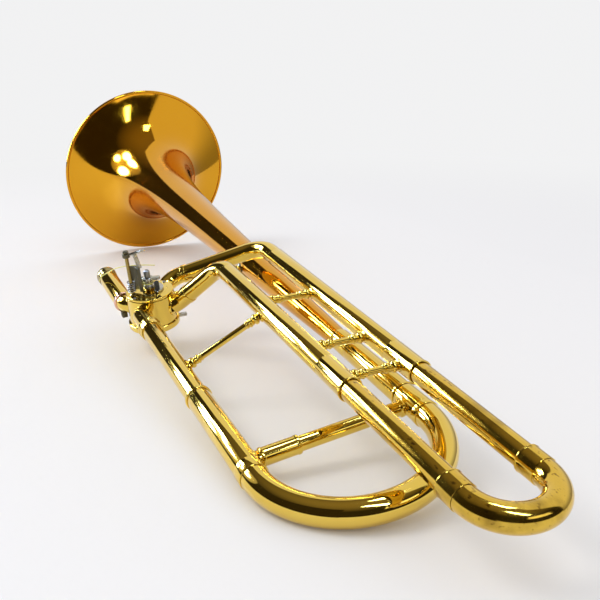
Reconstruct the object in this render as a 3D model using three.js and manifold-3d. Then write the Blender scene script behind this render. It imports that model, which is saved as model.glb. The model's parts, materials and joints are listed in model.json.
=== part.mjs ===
// Trombone bell section with an open-wrap F attachment, standing at rest on a table.
// Millimetres, +Z up, the bell pointing along +Y.
//
// The instrument is drawn in its own frame: the bell's axis is the line x = 0, z = 0 and runs
// along +Y to the bell's mouth, the neckpipe lies at x = -SLIDE_WIDTH, and the F tubes lie above
// both at +Z. The last lines lean that frame over until it rests on the ground.

import * as THREE from 'three';
import { mergeVertices } from 'three/addons/utils/BufferGeometryUtils.js';
import Module from 'manifold-3d';

const wasm = await Module();
wasm.setup();

// ---- Driving dimensions --------------------------------------------------------------------

const FIT_GAP = 0.3;            // between pieces that touch on the real object
const TUBE_SIDES = 14;
const VALVE_SIDES = 28;
const BEND_SIDES = 10;
const SMALL_SIDES = 8;

// Bell
const BELL_MOUTH_Y = 560;
const BELL_TAIL_Y = 20;
const BELL_RADIUS = 106.5;
const BELL_WALL = 0.9;
const BELL_SIDES = 32;
const FLARE_LENGTH = 16;        // how sharply the flare opens at the mouth
const FLARE_POWER = 0.62;
const STEM_TOP_Y = 300;         // below this the bell is a straight cone
const BELL_TAIL_RADIUS = 7.9;
const RIM_WIRE_RADIUS = 1.9;

// Main tuning slide
const SLIDE_WIDTH = 124;        // between the axes of its two legs
const SLIDE_CROOK_Y = -102;     // where its half circle begins
const CROOK_RADIUS = 9.1;
const CROOK_WALL = 0.5;
const LEFT_SLEEVE_RADIUS = 9.16;
const LEFT_SLEEVE_WALL = 0.4;
const RIGHT_LEG_RADIUS = 8.3;
const SLIDE_WALL = 0.45;
const BELL_SLEEVE_RADIUS = 8.95;
const BELL_SLEEVE_TOP_Y = -2.6;
const BELL_SLEEVE_END_Y = -74.4;
const TUNING_BRACE_Y = -86;
const TUNING_BRACE_RADIUS = 5.2;

// Neckpipe and slide receiver
const NECK_RADIUS = 8.4;
const NECK_TOP_Y = 122;
const NECK_END_Y = -82;
const RECEIVER_X = -129;
const RECEIVER_RADIUS = 8.4;
const RECEIVER_BORE = 6.8;
const RECEIVER_TOP_Y = 255;
const RECEIVER_END_Y = 189.2;
const COLLAR_LENGTH = 11;

// Rotary valve: the rotor turns about +Z
const VALVE_X = -109;
const VALVE_Y = 167;
const VALVE_Z = -2;             // the valve and the receiver sit a little below the bell's plane
const CASING_RADIUS = 21;
const CASING_WALL = 2.2;
const CASING_TOP_Z = 14.5;
const CASING_FOOT_Z = -16.5;
const CAP_FOOT_Z = -20.2;
const CASING_PLATE = 3;         // thickness of the casing's own top plate
const ROTOR_RADIUS = 18.4;
const ROTOR_TOP_Z = 11;
const ROTOR_BOTTOM_Z = -10.2;
const PORT_BORE = 6.9;
const PORT_TURN = 7;            // degrees the four ports are turned past the diagonals
const KNUCKLE_RADIUS = 7.7;
const KNUCKLE_WALL = 0.6;
const ROTOR_TURN = 90;          // degrees between the two stops

// F attachment: its outlet tube (side A) and inlet tube (side B)
const F_A = new THREE.Vector2(-2.8, 31.8);      // x and z of the straight legs
const F_B = new THREE.Vector2(-54, 36.6);
const SEAM_RING = 0.6;          // how far the rings over the bends' seams stand out
const F_TUBE_RADIUS = 8.2;
const F_TUBE_WALL = 0.4;
const F_BEND_WALL = 0.6;
const F_END_RING_Y = -98.6;
const F_SEAM_Y = -66;           // where the end sleeves begin
const F_LEG_RADIUS = 7.6;
const F_LEG_WALL = 0.45;
const F_LEG_TOP_Y = -62;        // how far the drawn slide still reaches into its sleeves
const F_FERRULE_Y = -200.4;
const F_CROOK_Y = -215;
const BRACE_RADIUS = 2.5;
const END_RING = 0.55;           // how far the rings at the sleeves' ends stand out

// Thumb lever: it turns about a post that stands on the valve casing
const POST_X = -15.5;           // from the rotor's axis
const POST_Y = -3;
const POST_RADIUS = 1.6;
const POST_TOP_Z = 54.6;        // heights of the valve's and lever's parts are from the ports' plane
const DRUM_RADIUS = 9.6;        // string drum on the lever
const ARM_WIDTH = 3.6;
const HUB_RADIUS = 4.8;         // string drum on the rotor's stem
const HUB_GROOVE = 0.8;
const STRING_RADIUS = 0.42;
const STRING_Z = 22;            // height of the string above the ports' plane

// Resting pose on the ground
const PITCH = 6.82;             // degrees, the bell's mouth raised
const ROLL = -7.79;             // degrees, the neckpipe's side lowered

// ---- Materials -----------------------------------------------------------------------------

function metal(color, roughness) {
  return new THREE.MeshStandardMaterial({ color, roughness, metalness: 1 });
}

const yellowBrass = metal(0xd9b45a, 0.16);
const goldBrass = metal(0xc8832f, 0.14);
const rawBrass = metal(0xb98a35, 0.28);
const copperTone = metal(0xc07a5a, 0.2);
const nickelSilver = metal(0x9a9a8c, 0.25);
const steel = metal(0x55565a, 0.35);
const rubber = new THREE.MeshStandardMaterial({ color: 0x1b1b1b, roughness: 0.8, metalness: 0 });
const stringFibre = new THREE.MeshStandardMaterial({ color: 0xc9c94a, roughness: 0.7, metalness: 0 });

// ---- Curves and simple geometry ------------------------------------------------------------

const vec = (x, y, z) => new THREE.Vector3(x, y, z);
const polar = (radius, degrees, z = 0) => {
  const angle = THREE.MathUtils.degToRad(degrees);
  return vec(radius * Math.cos(angle), radius * Math.sin(angle), z);
};

/** A circular arc in space that starts at centre + u * radius and turns toward v. */
class SpaceArc extends THREE.Curve {
  constructor(centre, u, v, radius, angle) {
    super();
    Object.assign(this, { centre, u, v, radius, angle });
  }

  getPoint(t, target = new THREE.Vector3()) {
    const turned = t * this.angle;
    return target.copy(this.centre)
      .addScaledVector(this.u, this.radius * Math.cos(turned))
      .addScaledVector(this.v, this.radius * Math.sin(turned));
  }
}

/** A path of straight stretches through the corners, each inner corner rounded by its radius. */
function bentPath(corners, radii) {
  const path = new THREE.CurvePath();
  let start = corners[0];
  for (let i = 1; i < corners.length - 1; i += 1) {
    const back = corners[i - 1].clone().sub(corners[i]).normalize();
    const ahead = corners[i + 1].clone().sub(corners[i]).normalize();
    const half = back.angleTo(ahead) / 2;
    const radius = radii[i - 1];
    const reach = radius / Math.tan(half);
    const arcStart = corners[i].clone().addScaledVector(back, reach);
    const toCentre = back.clone().add(ahead).normalize();
    const centre = corners[i].clone().addScaledVector(toCentre, radius / Math.sin(half));
    const u = arcStart.clone().sub(centre).normalize();
    const v = back.clone().negate();
    path.add(new THREE.LineCurve3(start, arcStart));
    path.add(new SpaceArc(centre, u, v, radius, Math.PI - 2 * half));
    start = path.curves.at(-1).getPoint(1);
  }
  path.add(new THREE.LineCurve3(start, corners.at(-1)));
  return path;
}

/** A hollow tube swept along a path. */
function sweptTube(path, radius, wall, steps, sides = TUBE_SIDES) {
  const ring = new THREE.Shape().absarc(0, 0, radius, 0, 2 * Math.PI);
  ring.holes.push(new THREE.Path().absarc(0, 0, radius - wall, 0, 2 * Math.PI, true));
  return new THREE.ExtrudeGeometry(ring, {
    extrudePath: path, steps, curveSegments: sides / 2, bevelEnabled: false,
  });
}

/** A solid round bar swept along a path. */
function sweptBar(path, radius, steps, sides = 8) {
  const disc = new THREE.Shape().absarc(0, 0, radius, 0, 2 * Math.PI);
  return new THREE.ExtrudeGeometry(disc, {
    extrudePath: path, steps, curveSegments: sides / 2, bevelEnabled: false,
  });
}

/** Turns a profile of [radius, height] pairs about +Y. */
function turned(profile, sides = TUBE_SIDES) {
  return new THREE.LatheGeometry(profile.map(([r, y]) => new THREE.Vector2(r, y)), sides);
}

/** A straight hollow tube about +Y. */
function straightTube(radius, bore, y0, y1, sides = TUBE_SIDES) {
  return turned([[radius, y0], [radius, y1], [bore, y1], [bore, y0], [radius, y0]], sides);
}

/** A ring about +Y with rounded shoulders. */
function beadedRing(radius, bore, y0, y1, sides = TUBE_SIDES) {
  const edge = Math.min(0.5, (radius - bore) / 2);
  return turned([
    [radius - edge, y0], [radius, y0 + edge], [radius, y1 - edge], [radius - edge, y1],
    [bore, y1], [bore, y0], [radius - edge, y0],
  ], sides);
}

/** Lays a geometry made about +Y so that it runs from one point toward another. */
function laid(geometry, from, to) {
  const turn = new THREE.Quaternion().setFromUnitVectors(vec(0, 1, 0), to.clone().sub(from).normalize());
  return geometry.applyQuaternion(turn).translate(from.x, from.y, from.z);
}

/** Stands a geometry made about +Y up along +Z. */
function upright(geometry) {
  return geometry.rotateX(Math.PI / 2);
}

/** The flat outline of a ring sector, angles in degrees. */
function sector(inner, outer, from, to) {
  const a = THREE.MathUtils.degToRad(from);
  const b = THREE.MathUtils.degToRad(to);
  const shape = new THREE.Shape().absarc(0, 0, outer, a, b);
  shape.absarc(0, 0, inner, b, a, true);
  return shape;
}

/** A flat plate: an outline raised from z0 to z1. */
function plate(shape, z0, z1, curveSegments = 8) {
  const options = { depth: z1 - z0, bevelEnabled: false, curveSegments };
  return new THREE.ExtrudeGeometry(shape, options).translate(0, 0, z0);
}

// ---- Joining and cutting -------------------------------------------------------------------

/** A geometry as a manifold solid. */
function solid(geometry) {
  const bare = geometry.clone();
  bare.deleteAttribute('normal');
  bare.deleteAttribute('uv');
  const merged = mergeVertices(bare, 1e-4);
  const index = merged.index.array;
  const triangles = [];
  for (let i = 0; i < index.length; i += 3) {
    const [a, b, c] = index.slice(i, i + 3);
    if (a !== b && b !== c && c !== a) triangles.push(a, b, c);
  }
  return new wasm.Manifold(new wasm.Mesh({
    numProp: 3,
    vertProperties: new Float32Array(merged.attributes.position.array),
    triVerts: new Uint32Array(triangles),
  }));
}

/** A manifold solid as a geometry. */
function geometryOf(manifold) {
  const mesh = manifold.getMesh();
  const geometry = new THREE.BufferGeometry();
  geometry.setAttribute('position', new THREE.BufferAttribute(mesh.vertProperties, 3));
  geometry.setIndex(new THREE.BufferAttribute(mesh.triVerts, 1));
  geometry.computeVertexNormals();
  return geometry;
}

function joined(...geometries) {
  return geometryOf(geometries.map(solid).reduce((whole, next) => whole.add(next)));
}

function cut(geometry, ...tools) {
  return geometryOf(tools.map(solid).reduce((whole, tool) => whole.subtract(tool), solid(geometry)));
}

function common(a, b) {
  return geometryOf(solid(a).intersect(solid(b)));
}

// ---- Scene helpers -------------------------------------------------------------------------

/** Adds one named piece to a group, moved to a place in it. */
function piece(group, name, geometry, material, place = vec(0, 0, 0)) {
  const mesh = new THREE.Mesh(geometry, material);
  mesh.name = name;
  mesh.position.copy(place);
  group.add(mesh);
  return mesh;
}

const instrument = new THREE.Group();
const neckAxis = vec(-SLIDE_WIDTH, 0, 0);
const receiverAxis = vec(RECEIVER_X, 0, VALVE_Z);
const axisA = vec(F_A.x, 0, F_A.y);
const axisB = vec(F_B.x, 0, F_B.y);
const valveCentre = vec(VALVE_X, VALVE_Y, VALVE_Z);

// ---- Bell ----------------------------------------------------------------------------------

/** The bell's outer radius: a horn curve at the mouth, a straight cone below STEM_TOP_Y. */
function bellRadius(y) {
  const horn = (at) => BELL_RADIUS * (FLARE_LENGTH / (BELL_MOUTH_Y - at + FLARE_LENGTH)) ** FLARE_POWER;
  if (y >= STEM_TOP_Y) return horn(y);
  const along = (y - BELL_TAIL_Y) / (STEM_TOP_Y - BELL_TAIL_Y);
  return THREE.MathUtils.lerp(BELL_TAIL_RADIUS, horn(STEM_TOP_Y), along);
}

function addBell() {
  // stations crowd toward the mouth, where the curve turns fastest
  const stations = [BELL_TAIL_Y];
  const count = 10;
  for (let i = 0; i <= count; i += 1) {
    const left = (1 - i / count) ** 3;
    stations.push(BELL_MOUTH_Y - (BELL_MOUTH_Y - STEM_TOP_Y) * left);
  }
  const lip = BELL_RADIUS - 2 * RIM_WIRE_RADIUS - FIT_GAP;
  const outline = stations
    .map((y) => [bellRadius(y), y])
    .filter(([r]) => r < lip - 2);
  outline.push([lip, BELL_MOUTH_Y - 0.6]);

  // the inner wall follows the outer one, a wall's thickness inside along the normal
  const inside = outline.map(([r, y], i) => {
    const [r0, y0] = outline[Math.max(i - 1, 0)];
    const [r1, y1] = outline[Math.min(i + 1, outline.length - 1)];
    const length = Math.hypot(r1 - r0, y1 - y0);
    return [r - BELL_WALL * (y1 - y0) / length, y + BELL_WALL * (r1 - r0) / length];
  });
  const profile = [...outline, ...inside.reverse(), outline[0]];
  piece(instrument, 'bell', turned(profile, BELL_SIDES), goldBrass);

  const wire = [];
  for (let i = 0; i <= 6; i += 1) {
    const p = polar(RIM_WIRE_RADIUS, 60 * i);
    wire.push([BELL_RADIUS - RIM_WIRE_RADIUS + p.x, BELL_MOUTH_Y + p.y]);
  }
  piece(instrument, 'bell_rim_bead', turned(wire, BELL_SIDES), goldBrass);

  // the bell's tail is soldered to a short ferrule, and that to the tuning slide's sleeve
  const ferruleBore = BELL_SLEEVE_RADIUS - SLIDE_WALL;
  piece(instrument, 'bell_tail_ferrule',
    straightTube(BELL_SLEEVE_RADIUS - 0.2, 7.4, BELL_SLEEVE_TOP_Y + FIT_GAP, BELL_TAIL_Y - FIT_GAP),
    yellowBrass);
  piece(instrument, 'bell_sleeve',
    straightTube(BELL_SLEEVE_RADIUS, ferruleBore, BELL_SLEEVE_END_Y + 3, BELL_SLEEVE_TOP_Y),
    yellowBrass);
  piece(instrument, 'bell_sleeve_ring',
    beadedRing(BELL_SLEEVE_RADIUS + 0.9, ferruleBore, BELL_SLEEVE_END_Y, BELL_SLEEVE_END_Y + 2.7),
    yellowBrass);
}

// ---- Braces --------------------------------------------------------------------------------

/** The outline of a brace rod with two turned beads at each end that asks for them. */
function braceProfile(length, radius, beadsAtStart, beadsAtEnd) {
  const bead = (y) => [
    [radius, y - 1.3], [radius + 1.1, y - 0.7], [radius + 1.1, y + 0.7], [radius, y + 1.3],
  ];
  const start = beadsAtStart.flatMap((y) => bead(y));
  const end = beadsAtEnd.flatMap((y) => bead(length - y));
  return [[0, 0], [radius, 0], ...start, ...end, [radius, length], [0, length]];
}

/** A saddle that hugs a round tube running along +Y, under the end of a brace. */
function saddle(onAxis, toward, tubeRadius, thickness, reach) {
  const shell = straightTube(tubeRadius + FIT_GAP + thickness, tubeRadius + FIT_GAP,
    onAxis.y - 2 * reach, onAxis.y + 2 * reach, 20).translate(onAxis.x, 0, onAxis.z);
  const stamp = laid(turned([[0, 0], [reach, 0], [reach, 30], [0, 30]], 8), onAxis, toward);
  return common(shell, stamp);
}

/** A rod between two parallel tubes, with a saddle on each. */
function tubeBrace(a, radiusA, b, radiusB, rod, beadsA, beadsB, reach = rod * 2.4) {
  const thickness = 1;
  const along = b.clone().sub(a).normalize();
  const from = a.clone().addScaledVector(along, radiusA + FIT_GAP + thickness / 2);
  const to = b.clone().addScaledVector(along, -(radiusB + FIT_GAP + thickness / 2));
  const profile = braceProfile(from.distanceTo(to), rod, beadsA, beadsB);
  return joined(
    laid(turned(profile, SMALL_SIDES), from, to),
    saddle(a, b, radiusA, thickness, reach),
    saddle(b, a, radiusB, thickness, reach),
  );
}

// ---- Neckpipe and slide receiver -----------------------------------------------------------

/** A bent tube from the valve casing, its inner end cut to the casing's curve. */
function knuckle(corners, radii, steps) {
  const tube = sweptTube(bentPath(corners, radii), KNUCKLE_RADIUS, KNUCKLE_WALL, steps, BEND_SIDES);
  const casing = upright(turned([
    [0, -40], [CASING_RADIUS + FIT_GAP, -40], [CASING_RADIUS + FIT_GAP, 40], [0, 40],
  ], VALVE_SIDES)).translate(VALVE_X, VALVE_Y, 0);
  return cut(tube, casing);
}

/** A point on the axis of a valve port, the ports numbered counter-clockwise from the outlet. */
function portPoint(port, distance) {
  return polar(distance, 45 + 90 * port + PORT_TURN).add(valveCentre);
}

/** Where a port's axis, seen from above, meets a tube that runs along +Y at x and z. */
function portCorner(port, x, z) {
  const heading = portPoint(port, 1).sub(valveCentre);
  return vec(x, VALVE_Y + (x - VALVE_X) * heading.y / heading.x, z);
}

function addNeck() {
  piece(instrument, 'neckpipe',
    straightTube(NECK_RADIUS, NECK_RADIUS - SLIDE_WALL, NECK_END_Y, NECK_TOP_Y), yellowBrass, neckAxis);
  piece(instrument, 'neckpipe_ferrule',
    beadedRing(NECK_RADIUS + 1.3, NECK_RADIUS + FIT_GAP, NECK_TOP_Y - 8, NECK_TOP_Y + 1),
    yellowBrass, neckAxis);
  const neckCorner = portCorner(2, -SLIDE_WIDTH, 0);
  piece(instrument, 'neckpipe_knuckle',
    knuckle([vec(-SLIDE_WIDTH, NECK_TOP_Y + FIT_GAP, 0), neckCorner, portPoint(2, 12)], [12], 10),
    yellowBrass);

  // a small lug is brazed under the receiver's knuckle
  const receiverFoot = vec(RECEIVER_X, RECEIVER_END_Y - 1, VALVE_Z);
  const receiverKnuckle = knuckle(
    [receiverFoot, portCorner(1, RECEIVER_X, VALVE_Z), portPoint(1, 12)], [7.9], 8);
  const lug = new THREE.BoxGeometry(5, 6, 5)
    .translate(RECEIVER_X - 3, VALVE_Y + 14, VALVE_Z - KNUCKLE_RADIUS - 1);
  piece(instrument, 'receiver_knuckle', joined(receiverKnuckle, lug), yellowBrass);
  piece(instrument, 'receiver_ferrule',
    beadedRing(RECEIVER_RADIUS + 0.6, KNUCKLE_RADIUS + FIT_GAP,
      RECEIVER_END_Y - 3.2, RECEIVER_END_Y - FIT_GAP),
    copperTone, receiverAxis);
  piece(instrument, 'slide_receiver', turned([
    [RECEIVER_RADIUS, RECEIVER_END_Y], [RECEIVER_RADIUS, RECEIVER_TOP_Y - COLLAR_LENGTH],
    [RECEIVER_RADIUS - 0.4, RECEIVER_TOP_Y - COLLAR_LENGTH], [RECEIVER_RADIUS - 0.4, RECEIVER_TOP_Y],
    [RECEIVER_BORE + 0.5, RECEIVER_TOP_Y], [RECEIVER_BORE, RECEIVER_END_Y],
    [RECEIVER_RADIUS, RECEIVER_END_Y],
  ]), yellowBrass, receiverAxis);
  piece(instrument, 'receiver_collar',
    beadedRing(RECEIVER_RADIUS + 0.9, RECEIVER_RADIUS - 0.4 + FIT_GAP,
      RECEIVER_TOP_Y - COLLAR_LENGTH + FIT_GAP, RECEIVER_TOP_Y - 0.5),
    yellowBrass, receiverAxis);
}

// ---- Rotary valve --------------------------------------------------------------------------

/** The valve's own frame: its origin is the rotor's centre. */
const valve = new THREE.Group();
valve.position.copy(valveCentre);
instrument.add(valve);

function addCasing() {
  const bore = CASING_RADIUS - CASING_WALL;
  const plateZ = CASING_TOP_Z - CASING_PLATE;
  const shell = upright(turned([
    [CASING_RADIUS, CASING_FOOT_Z], [CASING_RADIUS, CASING_TOP_Z], [4.2, CASING_TOP_Z],
    [4.2, plateZ], [bore, plateZ], [bore, CASING_FOOT_Z], [CASING_RADIUS, CASING_FOOT_Z],
  ], VALVE_SIDES));
  const ports = [0, 1, 2, 3].map((port) => laid(
    turned([[0, 0], [PORT_BORE, 0], [PORT_BORE, 30], [0, 30]], 12),
    portPoint(port, 10).sub(valveCentre), portPoint(port, 30).sub(valveCentre)));
  piece(valve, 'valve_casing', cut(shell, ...ports), yellowBrass);

  piece(valve, 'rear_bearing_plate',
    upright(straightTube(bore - FIT_GAP, 3.3, -13.9, -10.7, 24)), yellowBrass);
  const lip = CASING_RADIUS + 1.4;
  const cap = upright(turned([
    [0, CAP_FOOT_Z], [lip - 2.5, CAP_FOOT_Z], [lip, CAP_FOOT_Z + 2.2], [lip, CAP_FOOT_Z + 7.7],
    [CASING_RADIUS + FIT_GAP, CAP_FOOT_Z + 7.7], [CASING_RADIUS + FIT_GAP, CASING_FOOT_Z - 0.5],
    [0, CASING_FOOT_Z - 0.5],
  ], VALVE_SIDES));
  const studZ = CAP_FOOT_Z + 4.8;
  const stud = turned([[0, 0], [1.9, 0], [1.9, 7], [1.4, 7.6], [0, 7.6]], SMALL_SIDES);
  const laidStud = laid(stud, polar(lip - 0.8, -8, studZ), polar(40, -8, studZ));
  piece(valve, 'valve_cap', joined(cap, laidStud), yellowBrass);
}

function addRotor() {
  const body = upright(turned([
    [0, -13.4], [2.9, -13.4], [2.9, ROTOR_BOTTOM_Z], [ROTOR_RADIUS, ROTOR_BOTTOM_Z],
    [ROTOR_RADIUS, ROTOR_TOP_Z], [3.8, ROTOR_TOP_Z], [3.8, 17], [2.6, 17], [2.6, 24], [0, 24],
  ], 24));
  // each passage bends between two neighbouring ports
  const passages = [180 + PORT_TURN, PORT_TURN].map((middle) => {
    const path = new THREE.QuadraticBezierCurve3(
      polar(24, middle - 45), polar(3, middle), polar(24, middle + 45));
    return sweptBar(path, PORT_BORE, 6, 10);
  });
  piece(valve, 'rotor', cut(body, ...passages), yellowBrass);
}

const STOP_ARM_REST = -20;      // degrees around the rotor from +X

function addStopArm() {
  const groove = HUB_RADIUS - HUB_GROOVE;
  const hub = upright(turned([
    [HUB_RADIUS, 17.3], [HUB_RADIUS, 19.6], [groove, 20.2], [groove, 23.8], [HUB_RADIUS, 24.4],
    [HUB_RADIUS, 27], [2.9, 27], [2.9, 17.3], [HUB_RADIUS, 17.3],
  ], 16));
  const arm = plate(new THREE.Shape()
    .moveTo(3.8, -2.4).lineTo(8.6, -2.4).absarc(8.6, 0, 2.4, -Math.PI / 2, Math.PI / 2).lineTo(3.8, 2.4),
  24.4, 27, 4).rotateZ(THREE.MathUtils.degToRad(STOP_ARM_REST));
  piece(valve, 'stop_arm', joined(hub, arm), nickelSilver);
  piece(valve, 'stop_arm_screw', upright(turned([
    [0, 24.4], [1.3, 24.4], [1.3, 27.3], [2.8, 27.3], [2.8, 32.6], [1.6, 33.8], [0, 34],
  ], SMALL_SIDES)), steel);
}

function addBumpers() {
  const reach = 9;
  piece(valve, 'bumper_plate', plate(sector(6.4, 12.6, -72, 122), 14.8, 16.8, 12), nickelSilver);
  for (const [name, degrees] of [
    ['bumper_rest', STOP_ARM_REST - 32],
    ['bumper_play', STOP_ARM_REST + ROTOR_TURN + 32],
  ]) {
    const post = upright(turned([[0, 17.1], [2.1, 17.1], [2.1, 23.9], [1.6, 24.4], [0, 24.4]], SMALL_SIDES));
    piece(valve, name, post, rubber, polar(reach, degrees));
  }
}

// ---- Thumb lever and its string ------------------------------------------------------------

const DRUM_FROM = -24;          // the drum's ends, degrees around the post
const DRUM_TO = 84;
const DRUM_TOP_Z = 39;
const PADDLE_LEAN = 28;

/** The lever's own frame: its origin is on the post's axis, at the height of the bell's axis. */
const lever = new THREE.Group();
lever.position.set(POST_X, POST_Y, 0);
valve.add(lever);

function addLever() {
  piece(lever, 'lever_post', upright(turned([
    [0, CASING_TOP_Z + FIT_GAP], [3, CASING_TOP_Z + FIT_GAP], [3, 16], [POST_RADIUS, 16.6],
    [POST_RADIUS, POST_TOP_Z], [0, POST_TOP_Z],
  ], SMALL_SIDES)), yellowBrass);
  piece(lever, 'lever_post_nut', upright(turned([
    [0, POST_TOP_Z + FIT_GAP], [2.6, POST_TOP_Z + FIT_GAP], [2.6, POST_TOP_Z + 1.2], [1.4, POST_TOP_Z + 1.8],
    [0, POST_TOP_Z + 1.9],
  ], 6)), nickelSilver);

  const barrelTop = POST_TOP_Z - FIT_GAP;
  const barrelFoot = barrelTop - 3.6;
  const barrel = upright(turned([
    [3.2, barrelFoot], [3.2, barrelTop], [POST_RADIUS + FIT_GAP, barrelTop],
    [POST_RADIUS + FIT_GAP, barrelFoot], [3.2, barrelFoot],
  ], 16));
  // the thumb's plate leans down toward the bell, away from the barrel that carries it
  const paddleShape = new THREE.Shape().moveTo(2.4, -2.4).lineTo(8, -4.2)
    .absarc(11.4, 1.2, 5.4, -Math.PI / 2, Math.PI / 2).lineTo(5, 6.6).lineTo(2.4, 2.4);
  const paddle = plate(paddleShape, 0, 2.2, 6).rotateX(THREE.MathUtils.degToRad(-PADDLE_LEAN))
    .rotateY(-0.1).translate(0, 0, barrelFoot + 0.2);
  const armFoot = vec(DRUM_RADIUS + 0.4, 1.6, DRUM_TOP_Z - 1.2);
  const armHead = vec(7.2, 1.6, barrelFoot + 1.4);
  const armLength = armFoot.distanceTo(armHead);
  const bar = new THREE.BoxGeometry(ARM_WIDTH, armLength, 3).translate(0, armLength / 2, 0);
  const arm = laid(bar, armFoot, armHead);
  const drum = plate(sector(DRUM_RADIUS - 3, DRUM_RADIUS, DRUM_FROM, DRUM_TO), 17.4, DRUM_TOP_Z, 10);
  piece(lever, 'thumb_lever', joined(barrel, paddle, arm, drum), nickelSilver);

  class Coil extends THREE.Curve {
    getPoint(t, target = new THREE.Vector3()) {
      const turns = 5.5;
      return target.copy(polar(3, 360 * turns * t, THREE.MathUtils.lerp(18, 28, t)));
    }
  }
  piece(lever, 'lever_return_spring', sweptBar(new Coil(), 0.45, 44, 4), steel);
}

/** The string crosses from the lever's drum to the rotor's hub and back, like a crossed belt. */
function addString() {
  const drumReach = DRUM_RADIUS + STRING_RADIUS + 0.1;
  const hubReach = HUB_RADIUS - HUB_GROOVE + STRING_RADIUS + 0.1;
  const hub = vec(-POST_X, -POST_Y, 0);
  const heading = THREE.MathUtils.radToDeg(Math.atan2(hub.y, hub.x));
  const leaving = THREE.MathUtils.radToDeg(Math.acos((drumReach + hubReach) / hub.length()));

  for (const [name, side, lift] of [['string_cross_lower', -1, -1.1], ['string_cross_upper', 1, 1.1]]) {
    const z = STRING_Z + lift;
    const onDrum = polar(drumReach, heading + side * leaving, z);
    const onHub = polar(hubReach, heading + 180 + side * leaving, z).add(hub);
    piece(lever, name, sweptBar(new THREE.LineCurve3(onDrum, onHub), STRING_RADIUS, 1, 6), stringFibre);
  }

  class Wrap extends THREE.Curve {
    getPoint(t, target = new THREE.Vector3()) {
      const degrees = THREE.MathUtils.lerp(heading + leaving + 3, DRUM_TO - 3, t);
      return target.copy(polar(drumReach, degrees, STRING_Z));
    }
  }
  piece(lever, 'string_on_lever', sweptBar(new Wrap(), STRING_RADIUS, 8, 6), stringFibre);

  const section = [];
  for (let i = 0; i <= 6; i += 1) {
    const p = polar(STRING_RADIUS, 60 * i);
    section.push([hubReach + p.x, p.y + STRING_Z]);
  }
  piece(valve, 'string_on_hub', upright(turned(section, 16)), stringFibre);

  // the loose end lies over the drum and hangs past the slide receiver
  const tail = new THREE.CatmullRomCurve3([
    vec(9, 3, 35), vec(1, 7.5, 35.6), vec(-7, 11.5, 35.8), vec(-14, 19, 34),
    vec(-20.5, 34, 27.6), vec(-23.4, 52, 18), vec(-28, 62, 11.5), vec(-31, 67, 5),
  ]);
  piece(valve, 'string_tail', sweptBar(tail, STRING_RADIUS, 30, 6), stringFibre);
}

// ---- F attachment --------------------------------------------------------------------------

const cornerA = [vec(F_A.x, 156, F_A.y), vec(-81, 195, 5.5), portPoint(0, 12)];
const cornerB = [vec(F_B.x, 127, F_B.y), vec(-86, 153, 2), portPoint(3, 12)];

function addFTube(side, axis, corners, radii, bendEndY, seam) {
  const [outer, inner, port] = corners;
  const toward = outer.clone().sub(inner).normalize();
  const joint = inner.clone().addScaledVector(toward, seam);
  const start = joint.clone().addScaledVector(toward, FIT_GAP);

  piece(instrument, `f_${side}_knuckle`, knuckle([joint, inner, port], [radii[1]], 10), yellowBrass);
  const ferrule = beadedRing(KNUCKLE_RADIUS + SEAM_RING, KNUCKLE_RADIUS + 0.2, -2, 2);
  piece(instrument, `f_${side}_ferrule`, laid(ferrule, joint, outer), yellowBrass);
  piece(instrument, `f_${side}_bend`,
    sweptTube(bentPath([start, outer, vec(outer.x, bendEndY + FIT_GAP, outer.z)], [radii[0]]),
      KNUCKLE_RADIUS, F_BEND_WALL, 16, BEND_SIDES),
    yellowBrass);

  const bore = F_TUBE_RADIUS - F_TUBE_WALL;
  piece(instrument, `f_${side}_leg`,
    straightTube(F_TUBE_RADIUS, bore, F_SEAM_Y, bendEndY), yellowBrass, axis);
  piece(instrument, `f_${side}_end_sleeve`, turned([
    [F_TUBE_RADIUS + END_RING, F_END_RING_Y], [F_TUBE_RADIUS + END_RING, F_END_RING_Y + 1.6],
    [F_TUBE_RADIUS + 0.2, F_END_RING_Y + 2], [F_TUBE_RADIUS + 0.2, F_SEAM_Y - FIT_GAP],
    [bore, F_SEAM_Y - FIT_GAP], [bore, F_END_RING_Y], [F_TUBE_RADIUS + END_RING, F_END_RING_Y],
  ]), yellowBrass, axis);
}

function addFSlide() {
  for (const [side, axis] of [['outlet', axisA], ['inlet', axisB]]) {
    piece(instrument, `f_slide_${side}_leg`,
      straightTube(F_LEG_RADIUS, F_LEG_RADIUS - F_LEG_WALL, F_CROOK_Y + 1, F_LEG_TOP_Y), rawBrass, axis);
    piece(instrument, `f_slide_${side}_ferrule`,
      beadedRing(F_TUBE_RADIUS + 0.5, F_LEG_RADIUS + FIT_GAP, F_CROOK_Y + 1, F_FERRULE_Y), rawBrass, axis);
  }
  const middle = axisA.clone().add(axisB).multiplyScalar(0.5).setY(F_CROOK_Y + 0.6);
  const across = axisA.clone().sub(axisB);
  const radius = across.length() / 2;
  const path = new SpaceArc(middle, across.normalize(), vec(0, -1, 0), radius, Math.PI);
  piece(instrument, 'f_slide_crook', sweptTube(path, F_TUBE_RADIUS, F_BEND_WALL, 12), rawBrass);
}

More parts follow.
